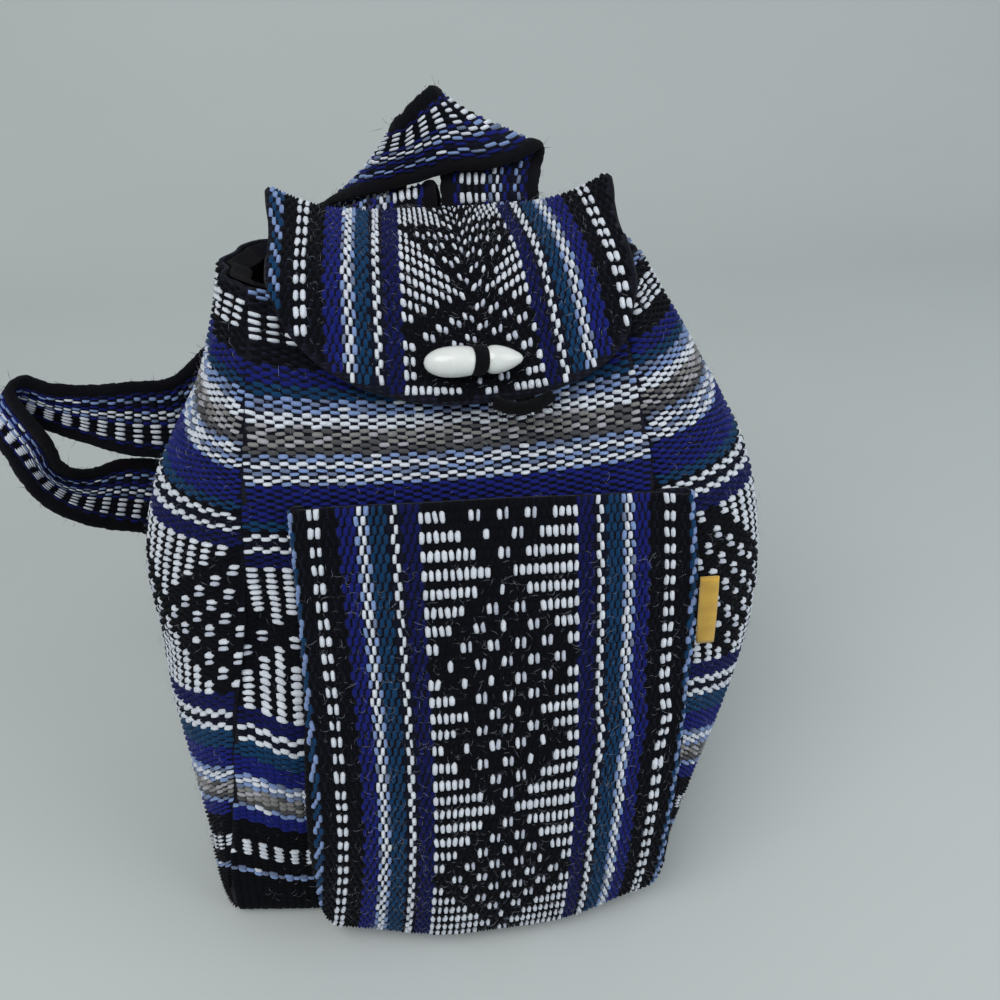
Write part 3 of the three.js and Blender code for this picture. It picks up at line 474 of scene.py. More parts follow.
# Warps of the body from the mouth down; "four" is blocks of white floats, "figure" the diamond.
BODY_STRIPES = stripe_columns([
    (3, "light"), (4, "black"), (8, "four"), (5, "black"), (5, "royal"), (3, "teal"), (4, "light"),
    (3, "white"), (1, "stone"), (5, "olive"), (2, "soot"), (2, "grey"), (2, "white"), (2, "grey"),
    (2, "white"), (1, "light"), (11, "royal"), (3, "teal"), (1, "black"), (2, "white"), (2, "night"), (2, "white"),
    (5, "navy"), (45, "figure"), (5, "navy"), (2, "white"), (2, "night"), (2, "white"), (6, "teal"),
    (7, "royal"), (2, "light"), (2, "white"), (2, "light"), (5, "olive"), (2, "soot"), (2, "light"),
    (6, "royal"), (10, "black"), (8, "four"), (7, "black"), (3, "light"), (60, "black"),
])
FIGURE_DOTS = 23


def figure_bar(pick):
    """Length of the bars at one pick: they grow to 10 and shrink again, every 10 picks."""
    return 10 - 2 * np.abs((pick + 5) % 10 - 5)


def figure_white(line, bar):
    """Where the diamond figure is white: 2 for the bars at both edges, 1 for dots between them.

    yarn_of adds 3, the smaller float that most dots have at their right.
    """
    middle = FIGURE_DOTS // 2
    dots = 5 - bar // 2
    off = np.abs(line - middle) * 2
    dotted = (off <= (dots - 1) * 4) & ((off - (dots - 1) * 4) % 8 == 0) & (dots > 0)
    return np.where((line < bar) | (line > FIGURE_DOTS - 1 - bar), 2, dotted.astype(int))


def yarn_of(stripes, k, pick, bars):
    """Yarn of each float from its warp number, its pick and the stripe it lies in."""
    names = np.array(stripes)
    here = names[np.clip(k, 0, len(stripes) - 1)]
    code = np.zeros(len(k), int)
    for number, name in enumerate(YARN_NAMES):
        code[here == name] = number
    black, white, fleck = [YARN_NAMES.index(name) for name in ("black", "white", "fleck")]
    for name, others in MIXED.items():
        chance = draw.random(len(k))
        for other, share in others:
            code[(here == name) & (chance < share)] = YARN_NAMES.index(other)
            chance = chance - share + (chance < share) * 2
    for start, name in enumerate(stripes):
        if name not in ("four", "dots", "figure") or (start > 0 and stripes[start - 1] == name):
            continue
        size = 1
        while start + size < len(stripes) and stripes[start + size] == name:
            size += 1
        inside = (k >= start) & (k < start + size)
        line = (k - start) // 2
        first = (k - start) % 2 == 0
        if name == "figure":
            lit = figure_white(line, bars(pick))
            beside = (lit == 0) & (figure_white(line - 1, bars(pick)) == 1) & (draw.random(len(k)) < 0.85)
            lit = np.where(beside, 3, lit)
        else:
            lit = np.full(len(k), 2)
        shown = np.where(lit == 3, fleck, white)
        code = np.where(inside, np.where(first & (lit > 0), shown, black), code)
    mottled = here == "mottled"
    speck = np.where((pick + k // 2) % 2 == 0, YARN_NAMES.index("teal"), YARN_NAMES.index("light"))
    return np.where(mottled, speck, code)


class Panel:
    """Places on one body panel by distance along the stripes and down from the mouth."""

    def __init__(self, name):
        self.name = name
        self.rises = np.linspace(0, 1, 161)
        shares = np.linspace(0, 1, 201)
        points = body_face(name, *np.meshgrid(shares, self.rises))
        self.way = ways(points, 1)
        self.way -= self.way[:, [100]]
        self.depth = ways(points[::-1, 100], 0)
        reach = np.linspace(-110, 110, 441)
        self.inverse = np.stack([np.interp(reach, row, shares) for row in self.way])

    def share(self, p, rise):
        return between(self.inverse, rise, (p + 110) * 2)

    def ends(self, rise):
        return np.interp(rise, self.rises, self.way[:, 0]), np.interp(rise, self.rises, self.way[:, -1])

    def level(self, p, q):
        """Height share of a stripe: the gussets' lower stripes sag behind the front seam."""
        rise = np.interp(q, self.depth, self.rises[::-1])
        rise = rise - np.maximum(q - self.depth[-1], 0) / HEIGHT
        low = blend_in(0.62 - rise, 0, 0.22)
        if self.name.endswith("gusset"):
            a = self.share(p, rise)
            back = np.clip(a if self.name == "right_gusset" else 1 - a, 0, 1)
            sag = GUSSET_SAG * np.sin(np.pi * back * 0.8) * np.clip(0.78 - rise, 0, 1) * HEIGHT
            if self.name == "right_gusset":
                sag = sag + 12.0 * blend_in(0.85 - rise, 0, 0.5)
            else:
                sag = sag + 8.0 * low * (1 - blend_in(back, 0, 0.45))
            rise = rise - sag / HEIGHT
        if self.name == "front_panel":
            rise = rise - (4.0 + 8.0 * blend_in(p - self.ends(rise)[0], 0, 24)) * low / HEIGHT
        return rise

    def place(self, p, q, out):
        rise = self.level(p, q)
        a = np.clip(self.share(p, rise), 0, 1)
        return turned_out(lambda u, v: body_face(self.name, u, v), a, np.clip(rise, 0, 1), out)


GUSSET_SAG = 0.40
CUT = {"front_panel": 0.7, "back_panel": 0.7, "left_gusset": -2.8, "right_gusset": 1.4}
PANELS = {}
BODY_COUNTS = {"front_panel": 11, "back_panel": 3, "left_gusset": 6, "right_gusset": 2}


def weave_panel(name):
    panel = PANELS[name] = Panel(name)
    rows = np.arange(len(BODY_STRIPES))
    picks = np.arange(-20, 21)
    k, m = [grid.ravel() for grid in np.meshgrid(rows, picks, indexing="ij")]
    q = CUT[name] + k * PITCH
    p = (m + 0.5 * (k % 2)) * BODY_PERIOD + BODY_COUNTS[name] * 0.3
    rise = panel.level(p, q)
    low, high = panel.ends(rise)
    kept = (q > 0.6) & (rise > 0.008) & (p > low + 0.3) & (p < high - 0.3)
    if name == "front_panel":
        behind_pocket = (rise > 0.02) & (rise < 0.70) & (np.abs(p - 9) < 50)
        kept &= ~behind_pocket
    k, m, p, q = k[kept], m[kept], p[kept], q[kept]
    yarns = yarn_of(BODY_STRIPES, k, m + BODY_COUNTS[name], figure_bar)
    wide, long = float_sizes(BODY_STRIPES, k, yarns)
    stretch = (panel.level(p, q - 0.5) - panel.level(p, q + 0.5)) * HEIGHT
    wide = wide * np.clip(stretch, 0.9, 1.45)
    return woven(name + "_floats", panel.place, (p, q), yarns, (wide, long))


PANEL_SIZES = {
    "front_panel": (0.152, 0.249), "back_panel": (0.150, 0.240),
    "left_gusset": (0.122, 0.250), "right_gusset": (0.130, 0.256),
}
for name, flat in PANEL_SIZES.items():
    cloth = cloth_of(name, lambda a, rise: body_face(name, a, rise), 37, 61, -UNDER_FLOATS, -CLOTH)
    floats = weave_panel(name)
    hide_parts(name)
    for piece in (cloth, floats):
        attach(piece, "root")
    beside = ["left_gusset_cloth", "right_gusset_cloth"] if "panel" in name else ["front_panel_cloth"]

# Bottom, tape inside the mouth and drawstring.
# The bottom is a plain dark cloth. A black tape is sewn inside the mouth, and a round black
# cord runs in it and comes out at the front, under the flap.


def tape_material(name, colour):
    made, nodes, links, shader = surface(
        name, colour, 0.9, Sheen_Weight=0.04, Sheen_Roughness=0.45, Specular_IOR_Level=0.06,
    )
    rib = texture(nodes, links, "Noise", Scale=1900.0, Detail=5.0, Roughness=0.75)
    patch = texture(nodes, links, "Noise", Scale=90.0)
    tone = two_tone(nodes, links, rib.outputs["Fac"], [c * 0.6 for c in colour], [c * 2.2 for c in colour])
    dust = shaded(nodes, links, tone, patch.outputs["Color"], 0.6)
    links.new(dust, shader.inputs["Base Color"])
    relief(nodes, links, shader, rib.outputs["Fac"], 0.9, 0.0005)
    return made


black_tape = tape_material("black_tape", (0.0055, 0.0055, 0.0080))
black_cord = tape_material("black_cord", (0.0045, 0.0045, 0.0060))


def worked_over(node, name, material, fine, deep, grain):
    """A finer copy of a plain piece, pressed in and out a little as cloth, tape or cord is."""
    work = bmesh.new()
    work.from_mesh(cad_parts[node].data)
    work.transform(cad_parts[node].matrix_world)
    bmesh.ops.remove_doubles(work, verts=work.verts, dist=1e-6)
    for _ in range(5):
        long_edges = [edge for edge in work.edges if edge.calc_length() > fine]
        bmesh.ops.subdivide_edges(work, edges=long_edges, cuts=1)
        bmesh.ops.triangulate(work, faces=work.faces)
    work.normal_update()
    moved = [(vertex, noise.noise(vertex.co / grain) * vertex.normal * deep) for vertex in work.verts]
    for vertex, move in moved:
        vertex.co += move
    mesh = bpy.data.meshes.new(name)
    work.to_mesh(mesh)
    work.free()
    mesh.materials.clear()
    mesh.materials.append(material)
    piece = bpy.data.objects.new(name, mesh)
    bpy.context.scene.collection.objects.link(piece)
    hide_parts(node)
    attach(piece, "root")
    return piece


base_cloth = worked_over("base_panel", "base_panel_cloth", ground, 0.004, 0.0006, 0.006)
facing = worked_over("mouth_facing", "mouth_facing_tape", black_tape, 0.004, 0.0003, 0.004)
drawn_cord = worked_over("drawstring", "drawstring_cord", black_cord, 0.0016, 0.0003, 0.0016)

# Pocket: one piece of the same cloth with its stripes upright, turned under at the sides and
# sewn down flat, then puffed out. Its top edge is a plain fold and stays open.
POCKET_TOP = 181.0
POCKET = table("at height depth left right", [
    (0.000, 0.004, 0.44, 1.05, 0.93), (0.040, 0.012, 0.62, 1.06, 0.94),
    (0.080, 0.026, 0.82, 1.08, 0.95), (0.130, 0.058, 0.97, 1.09, 0.96),
    (0.220, 0.140, 1.02, 1.10, 0.97), (0.360, 0.300, 0.98, 1.10, 0.97),
    (0.480, 0.440, 0.84, 1.08, 0.98), (0.570, 0.550, 0.74, 1.05, 0.99),
    (0.630, 0.620, 0.66, 1.03, 1.00), (0.720, 0.730, 0.60, 1.01, 1.03),
    (0.840, 0.860, 0.48, 1.00, 1.03), (1.000, 1.000, 0.38, 1.00, 1.00),
])
POCKET_DENTS = [
    (0.50, 0.60, 0.22, 0.022, 2.2), (0.78, 0.64, 0.14, 0.040, 1.6),
    (0.14, 0.80, 0.08, 0.090, 1.5), (0.86, 0.32, 0.08, 0.140, 2.2),
]
POCKET_CENTRE, POCKET_SEWN_CENTRE = 13.0, 9.5
POCKET_SEWN, POCKET_WIDE, POCKET_DEEP = 112.0, 128.0, 18.0
POCKET_SIDE, POCKET_CROWN, POCKET_FLAT = 0.25, 0.3, 0.3
TOP_LEAN, TOP_RISE, FOOT_LIFT, LEFT_FOOT, POCKET_SPREAD = 3.0, 4.5, 7.0, 1.35, 0.14
STRIPES_LEAN, CREASE_AT, CREASE_WIDE = 4.0, 97.0, 8.0
POCKET_PERIOD, POCKET_CLOTH = 6.35, 1.7


def pocket_face(a, rise):
    height = curve(POCKET, "height", rise) * POCKET_TOP
    depth = curve(POCKET, "depth", rise) * POCKET_DEEP
    radius = depth * (1 - POCKET_CROWN) / 2
    side = np.where(a < 0.5, -1.0, 1.0)
    end = np.minimum(a, 1 - a)
    width = np.where(side < 0, curve(POCKET, "left", rise), curve(POCKET, "right", rise)) * POCKET_WIDE / 2
    seam = np.minimum(POCKET_SEWN / 2 - side * (POCKET_CENTRE - POCKET_SEWN_CENTRE), width - radius)
    flat = np.maximum(width - radius - seam, 0)
    way = end / POCKET_SIDE * (flat + np.pi * radius)
    angle = np.maximum(way - flat, 0) / radius
    round_out = np.where(way < flat, seam + way, width - radius + radius * np.sin(angle))
    round_stand = np.where(way < flat, 0, radius - radius * np.cos(angle))
    fore = (0.5 - end) / (0.5 - POCKET_SIDE)
    crown = POCKET_CROWN * blend_in(fore, POCKET_FLAT, 1)
    turned = end < POCKET_SIDE
    out = np.where(turned, round_out, (width - radius) * fore)
    stand = np.where(turned, round_stand, depth * (1 - crown))
    x = POCKET_CENTRE + side * out
    level = height / HEIGHT
    left = curve(BODY, "seam_left", level) * HALF_WIDTH
    right_seam = curve(BODY, "seam_right", level) * HALF_WIDTH
    place = np.clip((x + left) / (left + right_seam), 0, 1)
    y = body_face("front_panel", place, level)[..., 1]
    dent = dents(POCKET_DENTS, a, rise) * stand / POCKET_DEEP
    lean = TOP_LEAN * (1.1 - 9.5 * (np.clip(a, 0.25, 0.75) - 0.32) ** 2)
    arch = TOP_RISE * np.maximum(1 - ((a - 0.48) / 0.27) ** 2, 0)
    lift = (lean + arch) * blend_in(rise, 0.6, 1)
    foot = FOOT_LIFT * np.where(a < 0.5, LEFT_FOOT, 1.0)
    corner = foot * np.minimum(np.abs(2 * a - 1) / 0.6, 1.2) ** 2.5 * (1 - blend_in(rise, 0, 0.25))
    return np.stack([x, y - 0.6 - stand + dent, height + lift + corner], -1)


# Warps across the pocket from its left turning to its right one.
LEFT_STRIPES = [
    (9, "black"), (3, "mottled"), (5, "black"), (3, "dots"), (5, "black"), (5, "royal"), (1, "light"),
    (2, "white"), (1, "light"), (5, "teal"), (1, "night"), (2, "white"), (1, "night"), (5, "navy"),
]
POCKET_STRIPES = stripe_columns(LEFT_STRIPES + [(45, "figure")] + LEFT_STRIPES[::-1])
POCKET_BARS = np.array([4, 6, 8, 10, 8, 6, 4, 2, 0, 2, 4, 6, 4, 2] + [4, 6, 8, 10, 8, 6, 4, 2, 0, 2] * 2)
POCKET_FRONT = 114


class PocketCloth:
    """Places on the pocket: p up from its foot, q across from the middle, both along the cloth."""

    def __init__(self):
        self.rises = np.linspace(0, 1, 241)
        shares = np.linspace(0, 1, 401)
        points = pocket_face(*np.meshgrid(shares, self.rises))
        way = ways(points, 1)
        way -= way[:, [200]]
        way /= (way[:, [300]] - way[:, [100]]) / POCKET_FRONT
        reach = np.linspace(-90, 90, 721)
        self.inverse = np.stack([np.interp(reach, row, shares) for row in way])
        self.low, self.high = way[:, 0], way[:, -1]
        self.length = ways(points[:, 200], 0)

    def rise(self, p):
        return np.interp(p, self.length, self.rises)

    def share(self, q, rise):
        return between(self.inverse, rise, (q + 90) * 4)

    def spread(self, q, rise):
        """The left warps fan out toward the foot, and all of them lean left there."""
        lean = STRIPES_LEAN * (1 - blend_in(rise, 0, 0.85))
        return q * (1 + POCKET_SPREAD * (q < 0) * (1 - blend_in(rise, 0, 0.5))) - lean

    def place(self, p, q, out):
        """A crease across the middle tilts the picks there and pushes the right stripes out above it."""
        tilt = 1.9 * bump(p, CREASE_AT, CREASE_WIDE) * q / 35
        push = 2.0 * bump(p, CREASE_AT + 13, 1.4 * CREASE_WIDE) * blend_in(q, 10, 35)
        p = p + tilt
        q = q + push
        rise = self.rise(p)
        a = self.share(self.spread(q, rise), rise)
        return turned_out(pocket_face, a, rise, out)


pocket = PocketCloth()


def weave_pocket():
    columns = np.arange(len(POCKET_STRIPES))
    picks = np.arange(0, 33)
    k, m = [grid.ravel() for grid in np.meshgrid(columns, picks, indexing="ij")]
    p = pocket.length[-1] - 1.5 - (m + 0.5 * (1 - k % 2)) * POCKET_PERIOD
    q = k - (len(POCKET_STRIPES) - 1) / 2
    rise = pocket.rise(p)
    across = pocket.spread(q, rise)
    low = np.interp(rise, pocket.rises, pocket.low)
    high = np.interp(rise, pocket.rises, pocket.high)
    kept = (p > 2.2) & (p < pocket.length[-1] - 1.2) & (across > low + 0.8) & (across < high - 0.8)
    k, m, p, q = k[kept], m[kept], p[kept], q[kept]
    yarns = yarn_of(POCKET_STRIPES, k, m, lambda pick: POCKET_BARS[np.clip(pick, 0, len(POCKET_BARS) - 1)])
    return woven("front_pocket_floats", pocket.place, (p, q), yarns, float_sizes(POCKET_STRIPES, k, yarns))


pocket_cloth = cloth_of("front_pocket", pocket_face, 61, 57, -UNDER_FLOATS, -POCKET_CLOTH)
pocket_floats = weave_pocket()
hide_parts("front_pocket")
for piece in (pocket_cloth, pocket_floats):
    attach(piece, "root")

# Flap: a tongue of the same cloth from the back seam over the mouth, its stripes front to back.
# Its sides are selvedges, its front corners are rounded and it is pulled down at the toggle.
FLAP_CLOTH, FLAP_WIDE, FLAP_SHIFT = 1.9, 112.0, 4.0
FLAP = table("at y z", [
    (0.00, 1.0462, 0.9667), (0.06, 1.0538, 1.0000), (0.11, 1.0308, 1.0208), (0.16, 0.9500, 1.0317),
    (0.23, 0.8077, 1.0342), (0.35, 0.5577, 1.0333), (0.48, 0.2885, 1.0267), (0.60, 0.0673, 1.0062),
    (0.72, -0.1250, 0.9738), (0.86, -0.3173, 0.9333), (1.00, -0.4808, 0.8958),
])


def flap_at(side, reach):
    ear = 10.0 * side ** 4 * bump(reach, 0.17, 0.16)
    wrap = 5.0 * side * side * blend_in(reach, 0.4, 1)
    x = FLAP_SHIFT + side * FLAP_WIDE / 2
    y = curve(FLAP, "y", reach) * HALF_DEPTH + wrap
    z = curve(FLAP, "z", reach) * HEIGHT + ear
    return np.stack([x, y, z], -1)


def flap_end(side):
    """Where the flap ends: its left front corner is cut rounder than its right one."""
    side = np.clip(side, -1, 1)
    left = 0.44 * (1 - np.sqrt(1 - side ** 2))
    right = 0.34 * (1 - (1 - np.abs(side) ** 2.5) ** (1 / 2.5))
    return 1 - np.where(side < 0, left, right)


def flap_face(a, along):
    side = 2 * a - 1
    return flap_at(side, along * flap_end(side))


FLAP_STRIPES = stripe_columns([
    (4, "mottled"), (4, "black"), (3, "dots"), (5, "black"), (5, "royal"), (1, "light"), (2, "white"),
    (1, "light"), (4, "teal"), (1, "night"), (2, "white"), (1, "night"), (5, "navy"), (39, "figure"),
    (4, "navy"), (1, "night"), (2, "white"), (1, "night"), (4, "teal"), (1, "light"), (2, "white"),
    (1, "light"), (5, "royal"), (5, "black"), (3, "dots"), (6, "black"),
])
FLAP_PERIOD = 6.0
FLAP_BACK, FLAP_FRONT = (0.90, 1.14), (1.11, 1.07)
FIGURE_FRONT = -17.1
GATHER, GATHER_AT, GATHER_REACH = 0.47, 0.05, 0.62
SLIT_SHADE_ACROSS, SLIT_SHADE_BACK, SLIT_SHADE_LONG, SLIT_SHADE_DEEP = 3.0, 11.5, 19.0, 4.6


def flap_edges(pitches):
    """Edges of the warps across the flap, for the pitch of the figure and of the rest."""
    is_figure = np.array(FLAP_STRIPES) == "figure"
    return np.concatenate([[0], np.cumsum(np.where(is_figure, *pitches))]), int(np.argmax(is_figure))


class FlapCloth:
    """Places on the flap: p back from its front edge, c the warp, counted from the left."""

    def __init__(self):
        self.reaches = np.linspace(0, 1, 301)
        line = flap_at(np.zeros(301), self.reaches)
        way = ways(line, 0)
        self.back = way[-1] - way
        edges, _ = flap_edges(FLAP_BACK)
        self.at_back = (edges / edges[-1] - 0.5) * (FLAP_WIDE - 1.2)
        edges, first = flap_edges(FLAP_FRONT)
        self.at_front = edges - edges[first] + FIGURE_FRONT
        self.columns = np.arange(len(edges))

    def flat(self, p, c):
        """The cloth is gathered behind the toggle, so wefts close up there; warps fan out in front."""
        across = np.interp(c, self.columns, self.at_back)
        near = np.clip(1 - np.abs(across / (FLAP_WIDE / 2) - GATHER_AT) / GATHER_REACH, 0, 1)
        way = p * (1 - GATHER * near)
        reach = np.interp(way, self.back[::-1], self.reaches[::-1])
        fan = np.clip((reach - 0.2) / 0.8, 0, 1)
        return way, reach, across * (1 - fan) + np.interp(c, self.columns, self.at_front) * fan

    def place(self, p, c, out):
        _, reach, q = self.flat(p, c)
        a = np.clip(0.5 + q / FLAP_WIDE, 0, 1)
        return turned_out(lambda u, v: flap_at(2 * u - 1, v), a, reach, -np.asarray(out))


flap = FlapCloth()


def weave_flap():
    columns = np.arange(len(FLAP_STRIPES))
    k, m = [grid.ravel() for grid in np.meshgrid(columns, np.arange(38), indexing="ij")]
    p = 3.4 + (m + 0.5 * (1 - k % 2)) * FLAP_PERIOD
    c = k + 0.5
    way, reach, q = flap.flat(p, c)
    side = q / (FLAP_WIDE / 2)
    kept = (way < flap.back[0] - 2) & (reach < flap_end(side) - 0.022) & (np.abs(side) < 0.985)
    k, m, p, c, way, q = k[kept], m[kept], p[kept], c[kept], way[kept], q[kept]
    yarns = yarn_of(FLAP_STRIPES, k, m, lambda pick: 2 * np.abs((pick + 1) % 10 - 5))
    # Floats in an oval under the toggle are made black: painted shade at the toggle's ends, over the flap's bound
    # slit.
    slit_shade = ((q - SLIT_SHADE_ACROSS) / SLIT_SHADE_LONG) ** 2 + ((way - SLIT_SHADE_BACK) / SLIT_SHADE_DEEP) ** 2 < 1
    yarns = np.where(slit_shade, YARN_NAMES.index("black"), yarns)
    return woven("flap_floats", flap.place, (p, c), yarns, float_sizes(FLAP_STRIPES, k, yarns))


flap_cloth = cloth_of("flap", flap_face, 41, 61, UNDER_FLOATS, FLAP_CLOTH - 0.1)
flap_floats = weave_flap()
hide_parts("flap")
for piece in (flap_cloth, flap_floats):
    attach(piece, "root")

# Toggle: a turned wooden spindle painted glossy white, with one blunt and one pointed end.
# A black cord loop passes over its waist and into the flap; behind it the flap's floats are black in an oval,
# painted shade at the toggle's ends over a bound slit.
TOGGLE_LENGTH, TOGGLE_WIDE = 29.4, 9.2
TOGGLE_AT = np.array([0.0728 * HALF_WIDTH, -0.425 * HALF_DEPTH + 0.8, 0.943 * HEIGHT + 0.8])
SPINDLE = table("at radius", [
    (0.000, 0.00), (0.012, 0.30), (0.060, 0.62), (0.160, 0.90), (0.300, 1.00), (0.440, 0.95), (0.500, 0.84),
    (0.530, 0.66), (0.570, 0.62), (0.610, 0.66), (0.640, 0.84), (0.710, 0.92), (0.790, 0.84), (0.870, 0.66),
    (0.940, 0.42), (0.985, 0.20), (1.000, 0.00),
])


def painted_wood():
    made, nodes, links, shader = surface(
        "toggle_paint", (0.72, 0.74, 0.73), 0.24, Coat_Weight=0.35, Coat_Roughness=0.12,
        Subsurface_Weight=0.05, Subsurface_Scale=0.001,
    )
    grime = texture(nodes, links, "Noise", Scale=160.0, Detail=6.0).outputs["Fac"]
    tone = two_tone(nodes, links, grime, (0.60, 0.62, 0.60), (0.74, 0.76, 0.75))
    links.new(tone, shader.inputs["Base Color"])
    gloss = dial(nodes.new("ShaderNodeMapRange"), To_Min=0.16, To_Max=0.38)
    links.new(grime, gloss.inputs["Value"])
    links.new(gloss.outputs["Result"], shader.inputs["Roughness"])
    relief(nodes, links, shader, grime, 0.12, 0.0004)
    return made


def tube_faces(rings, sides):
    """Four-sided faces between closed rings of points that follow one another."""
    i, j = np.meshgrid(np.arange(rings - 1), np.arange(sides), indexing="ij")
    first, after = i * sides + j, i * sides + (j + 1) % sides
    return np.stack([first, after, after + sides, first + sides], -1).reshape(-1, 4)


def spindle():
    at = 0.5 - 0.5 * np.cos(np.linspace(0, np.pi, 41))
    radius = np.maximum(curve(SPINDLE, "radius", at), 0) * TOGGLE_WIDE / 2
    radius[0] = radius[-1] = 0.02
    turn = np.linspace(0, 2 * np.pi, 41)[:-1]
    x = np.repeat((at - 0.5) * TOGGLE_LENGTH, 40)
    ring_y = (radius[:, None] * np.cos(turn)).ravel()
    ring_z = (radius[:, None] * np.sin(turn)).ravel()
    vertices = np.stack([x, ring_y, ring_z], -1) + TOGGLE_AT
    faces = tube_faces(41, 40)[:, ::-1]
    return new_piece("toggle_spindle", vertices * MM, faces, [painted_wood()])


def swept(name, line, wide, thick, across, material, sides=10):
    """A cord or binding of oval section along a line; across is the direction of its width."""
    line = np.asarray(line, float)
    tangent = np.gradient(line, axis=0)
    tangent /= np.linalg.norm(tangent, axis=1, keepdims=True)
    across = np.broadcast_to(np.asarray(across, float), line.shape)
    across = across - (across * tangent).sum(1, keepdims=True) * tangent
    across = across / np.linalg.norm(across, axis=1, keepdims=True)
    out = np.cross(tangent, across)
    turn = np.linspace(0, 2 * np.pi, sides + 1)[:-1]
    wide = np.broadcast_to(np.asarray(wide, float), (len(line),))[:, None, None] / 2
    thick = np.broadcast_to(np.asarray(thick, float), (len(line),))[:, None, None] / 2
    cosine, sine = np.cos(turn)[None, :, None], np.sin(turn)[None, :, None]
    ring = across[:, None] * cosine * wide + out[:, None] * sine * thick
    vertices = (line[:, None] + ring).reshape(-1, 3)
    middle = len(vertices)
    last = middle - sides
    vertices = np.concatenate([vertices, line[[0, -1]]])
    caps = []
    for j in range(0, sides, 2):
        caps.append((middle, (j + 2) % sides, (j + 1) % sides, j))
        caps.append((middle + 1, last + j, last + (j + 1) % sides, last + (j + 2) % sides))
    faces = np.concatenate([tube_faces(len(line), sides), np.array(caps)])
    return new_piece(name, vertices * MM, faces, [material])


toggle = spindle()
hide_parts("toggle")
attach(toggle, "root")

CORD_THICK = 1.6
CORD_REACH = TOGGLE_WIDE * 0.62 / 2 + CORD_THICK / 2 + 0.15
slope = math.pi / 4
arch = []
for turn in np.linspace(-0.60, 0.60, 25) * math.pi:
    out, rise = math.cos(turn) * CORD_REACH, math.sin(turn) * CORD_REACH
    arch.append((
        TOGGLE_AT[0] + 0.03 * TOGGLE_LENGTH + 1.6 * math.cos(turn * 0.9),
        TOGGLE_AT[1] - out * math.cos(slope) + rise * math.sin(slope),
        TOGGLE_AT[2] + out * math.sin(slope) + rise * math.cos(slope),
    ))
toggle_loop = swept("toggle_loop", arch, 4.3, CORD_THICK, (1, 0, 0), black_cord, sides=12)
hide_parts("toggle_cord")
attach(toggle_loop, "root")

# Straps: two doubled bands of the same cloth, each edge bound with black tape.
# They are sewn to the top of the back and to the foot of the back; the left one is tied in a loop.
STRAP_WIDE, STRAP_CLOTH = 34.0, 2.4
EDGE_WIDE, EDGE_OVER, EDGE_THICK = 4.6, 0.4, 3.1
BAND_HALF = STRAP_WIDE / 2 - EDGE_WIDE
STRAP_LEFT = np.array([
    (0.2136, 1.0942, 0.9667, 1, 0, 0, 1.00),
    (0.2136, 1.1192, 1.0083, 1, 0, 0, 1.00),
    (0.2136, 1.2115, 1.0417, 1, 0, -0.02, 1.00),
    (0.2233, 1.3077, 1.0708, 1, 0, -0.15, 1.04),
    (0.2233, 1.3538, 1.1000, 0.93, 0, -0.36, 1.18),
    (0.2039, 1.3192, 1.1250, 0.90, 0, -0.44, 1.22),
    (0.1456, 1.2385, 1.1250, 0.74, -0.03, -0.67, 1.04),
    (0.0485, 1.2000, 1.1208, 0.36, -0.06, -0.92, 0.80),
    (-0.0680, 1.2038, 1.0983, -0.20, -0.05, -0.97, 0.70),
    (-0.1456, 1.2731, 1.0833, -0.50, 0, -0.86, 0.78),
    (-0.1845, 1.3923, 1.0646, -0.68, 0, -0.73, 0.90),
    (-0.2136, 1.5000, 1.0292, -0.86, 0, -0.48, 1.00),
    (-0.2524, 1.5577, 0.9667, -0.99, 0, 0.10, 1.00),
    (-0.3495, 1.5385, 0.8833, -0.85, 0, 0.50, 1.00),
    (-0.5243, 1.4808, 0.8083, -0.66, 0, 0.75, 1.00),
    (-0.7379, 1.3846, 0.7375, -0.45, 0, 0.89, 1.00),
    (-0.9515, 1.2500, 0.6833, -0.05, 0.10, 1, 1.00),
    (-1.1262, 1.1538, 0.6958, 0.15, 0.15, 1, 0.90),
    (-1.2816, 1.1058, 0.7167, 0.25, 0.10, 1, 0.70),
    (-1.3981, 1.0769, 0.7375, 0.35, 0.10, 1, 0.56),
    (-1.4854, 1.0288, 0.7625, 0.55, 0.05, 0.85, 0.56),
    (-1.5243, 0.9135, 0.7625, 0.65, 0.00, 0.76, 0.58),
    (-1.4854, 0.8173, 0.7375, 0.70, 0.00, 0.70, 0.56),
    (-1.4466, 0.7885, 0.7000, 0.92, 0.10, 0.40, 0.52),
    (-1.4369, 0.8173, 0.6583, 0.90, 0.40, 0.15, 0.46),
    (-1.4078, 0.8846, 0.6167, 0.60, 0.75, 0.30, 0.52),
    (-1.3398, 0.9808, 0.5833, 0.35, 0.85, 0.45, 0.66),
    (-1.2427, 1.0962, 0.5625, 0.30, 0.55, 0.80, 0.84),
    (-1.1068, 1.1923, 0.5333, 0.35, 0.25, 0.90, 0.96),
    (-0.9515, 1.2692, 0.4542, 0.60, 0.10, 0.75, 1.00),
    (-0.8058, 1.2692, 0.3417, 0.80, 0, 0.55, 1.00),
    (-0.6893, 1.1538, 0.2292, 0.92, 0, 0.38, 1.00),
    (-0.5922, 1.0462, 0.1333, 0.95, 0, 0.30, 1.00),
    (-0.5534, 1.0077, 0.0750, 0.97, 0.08, 0.22, 1.00),
])
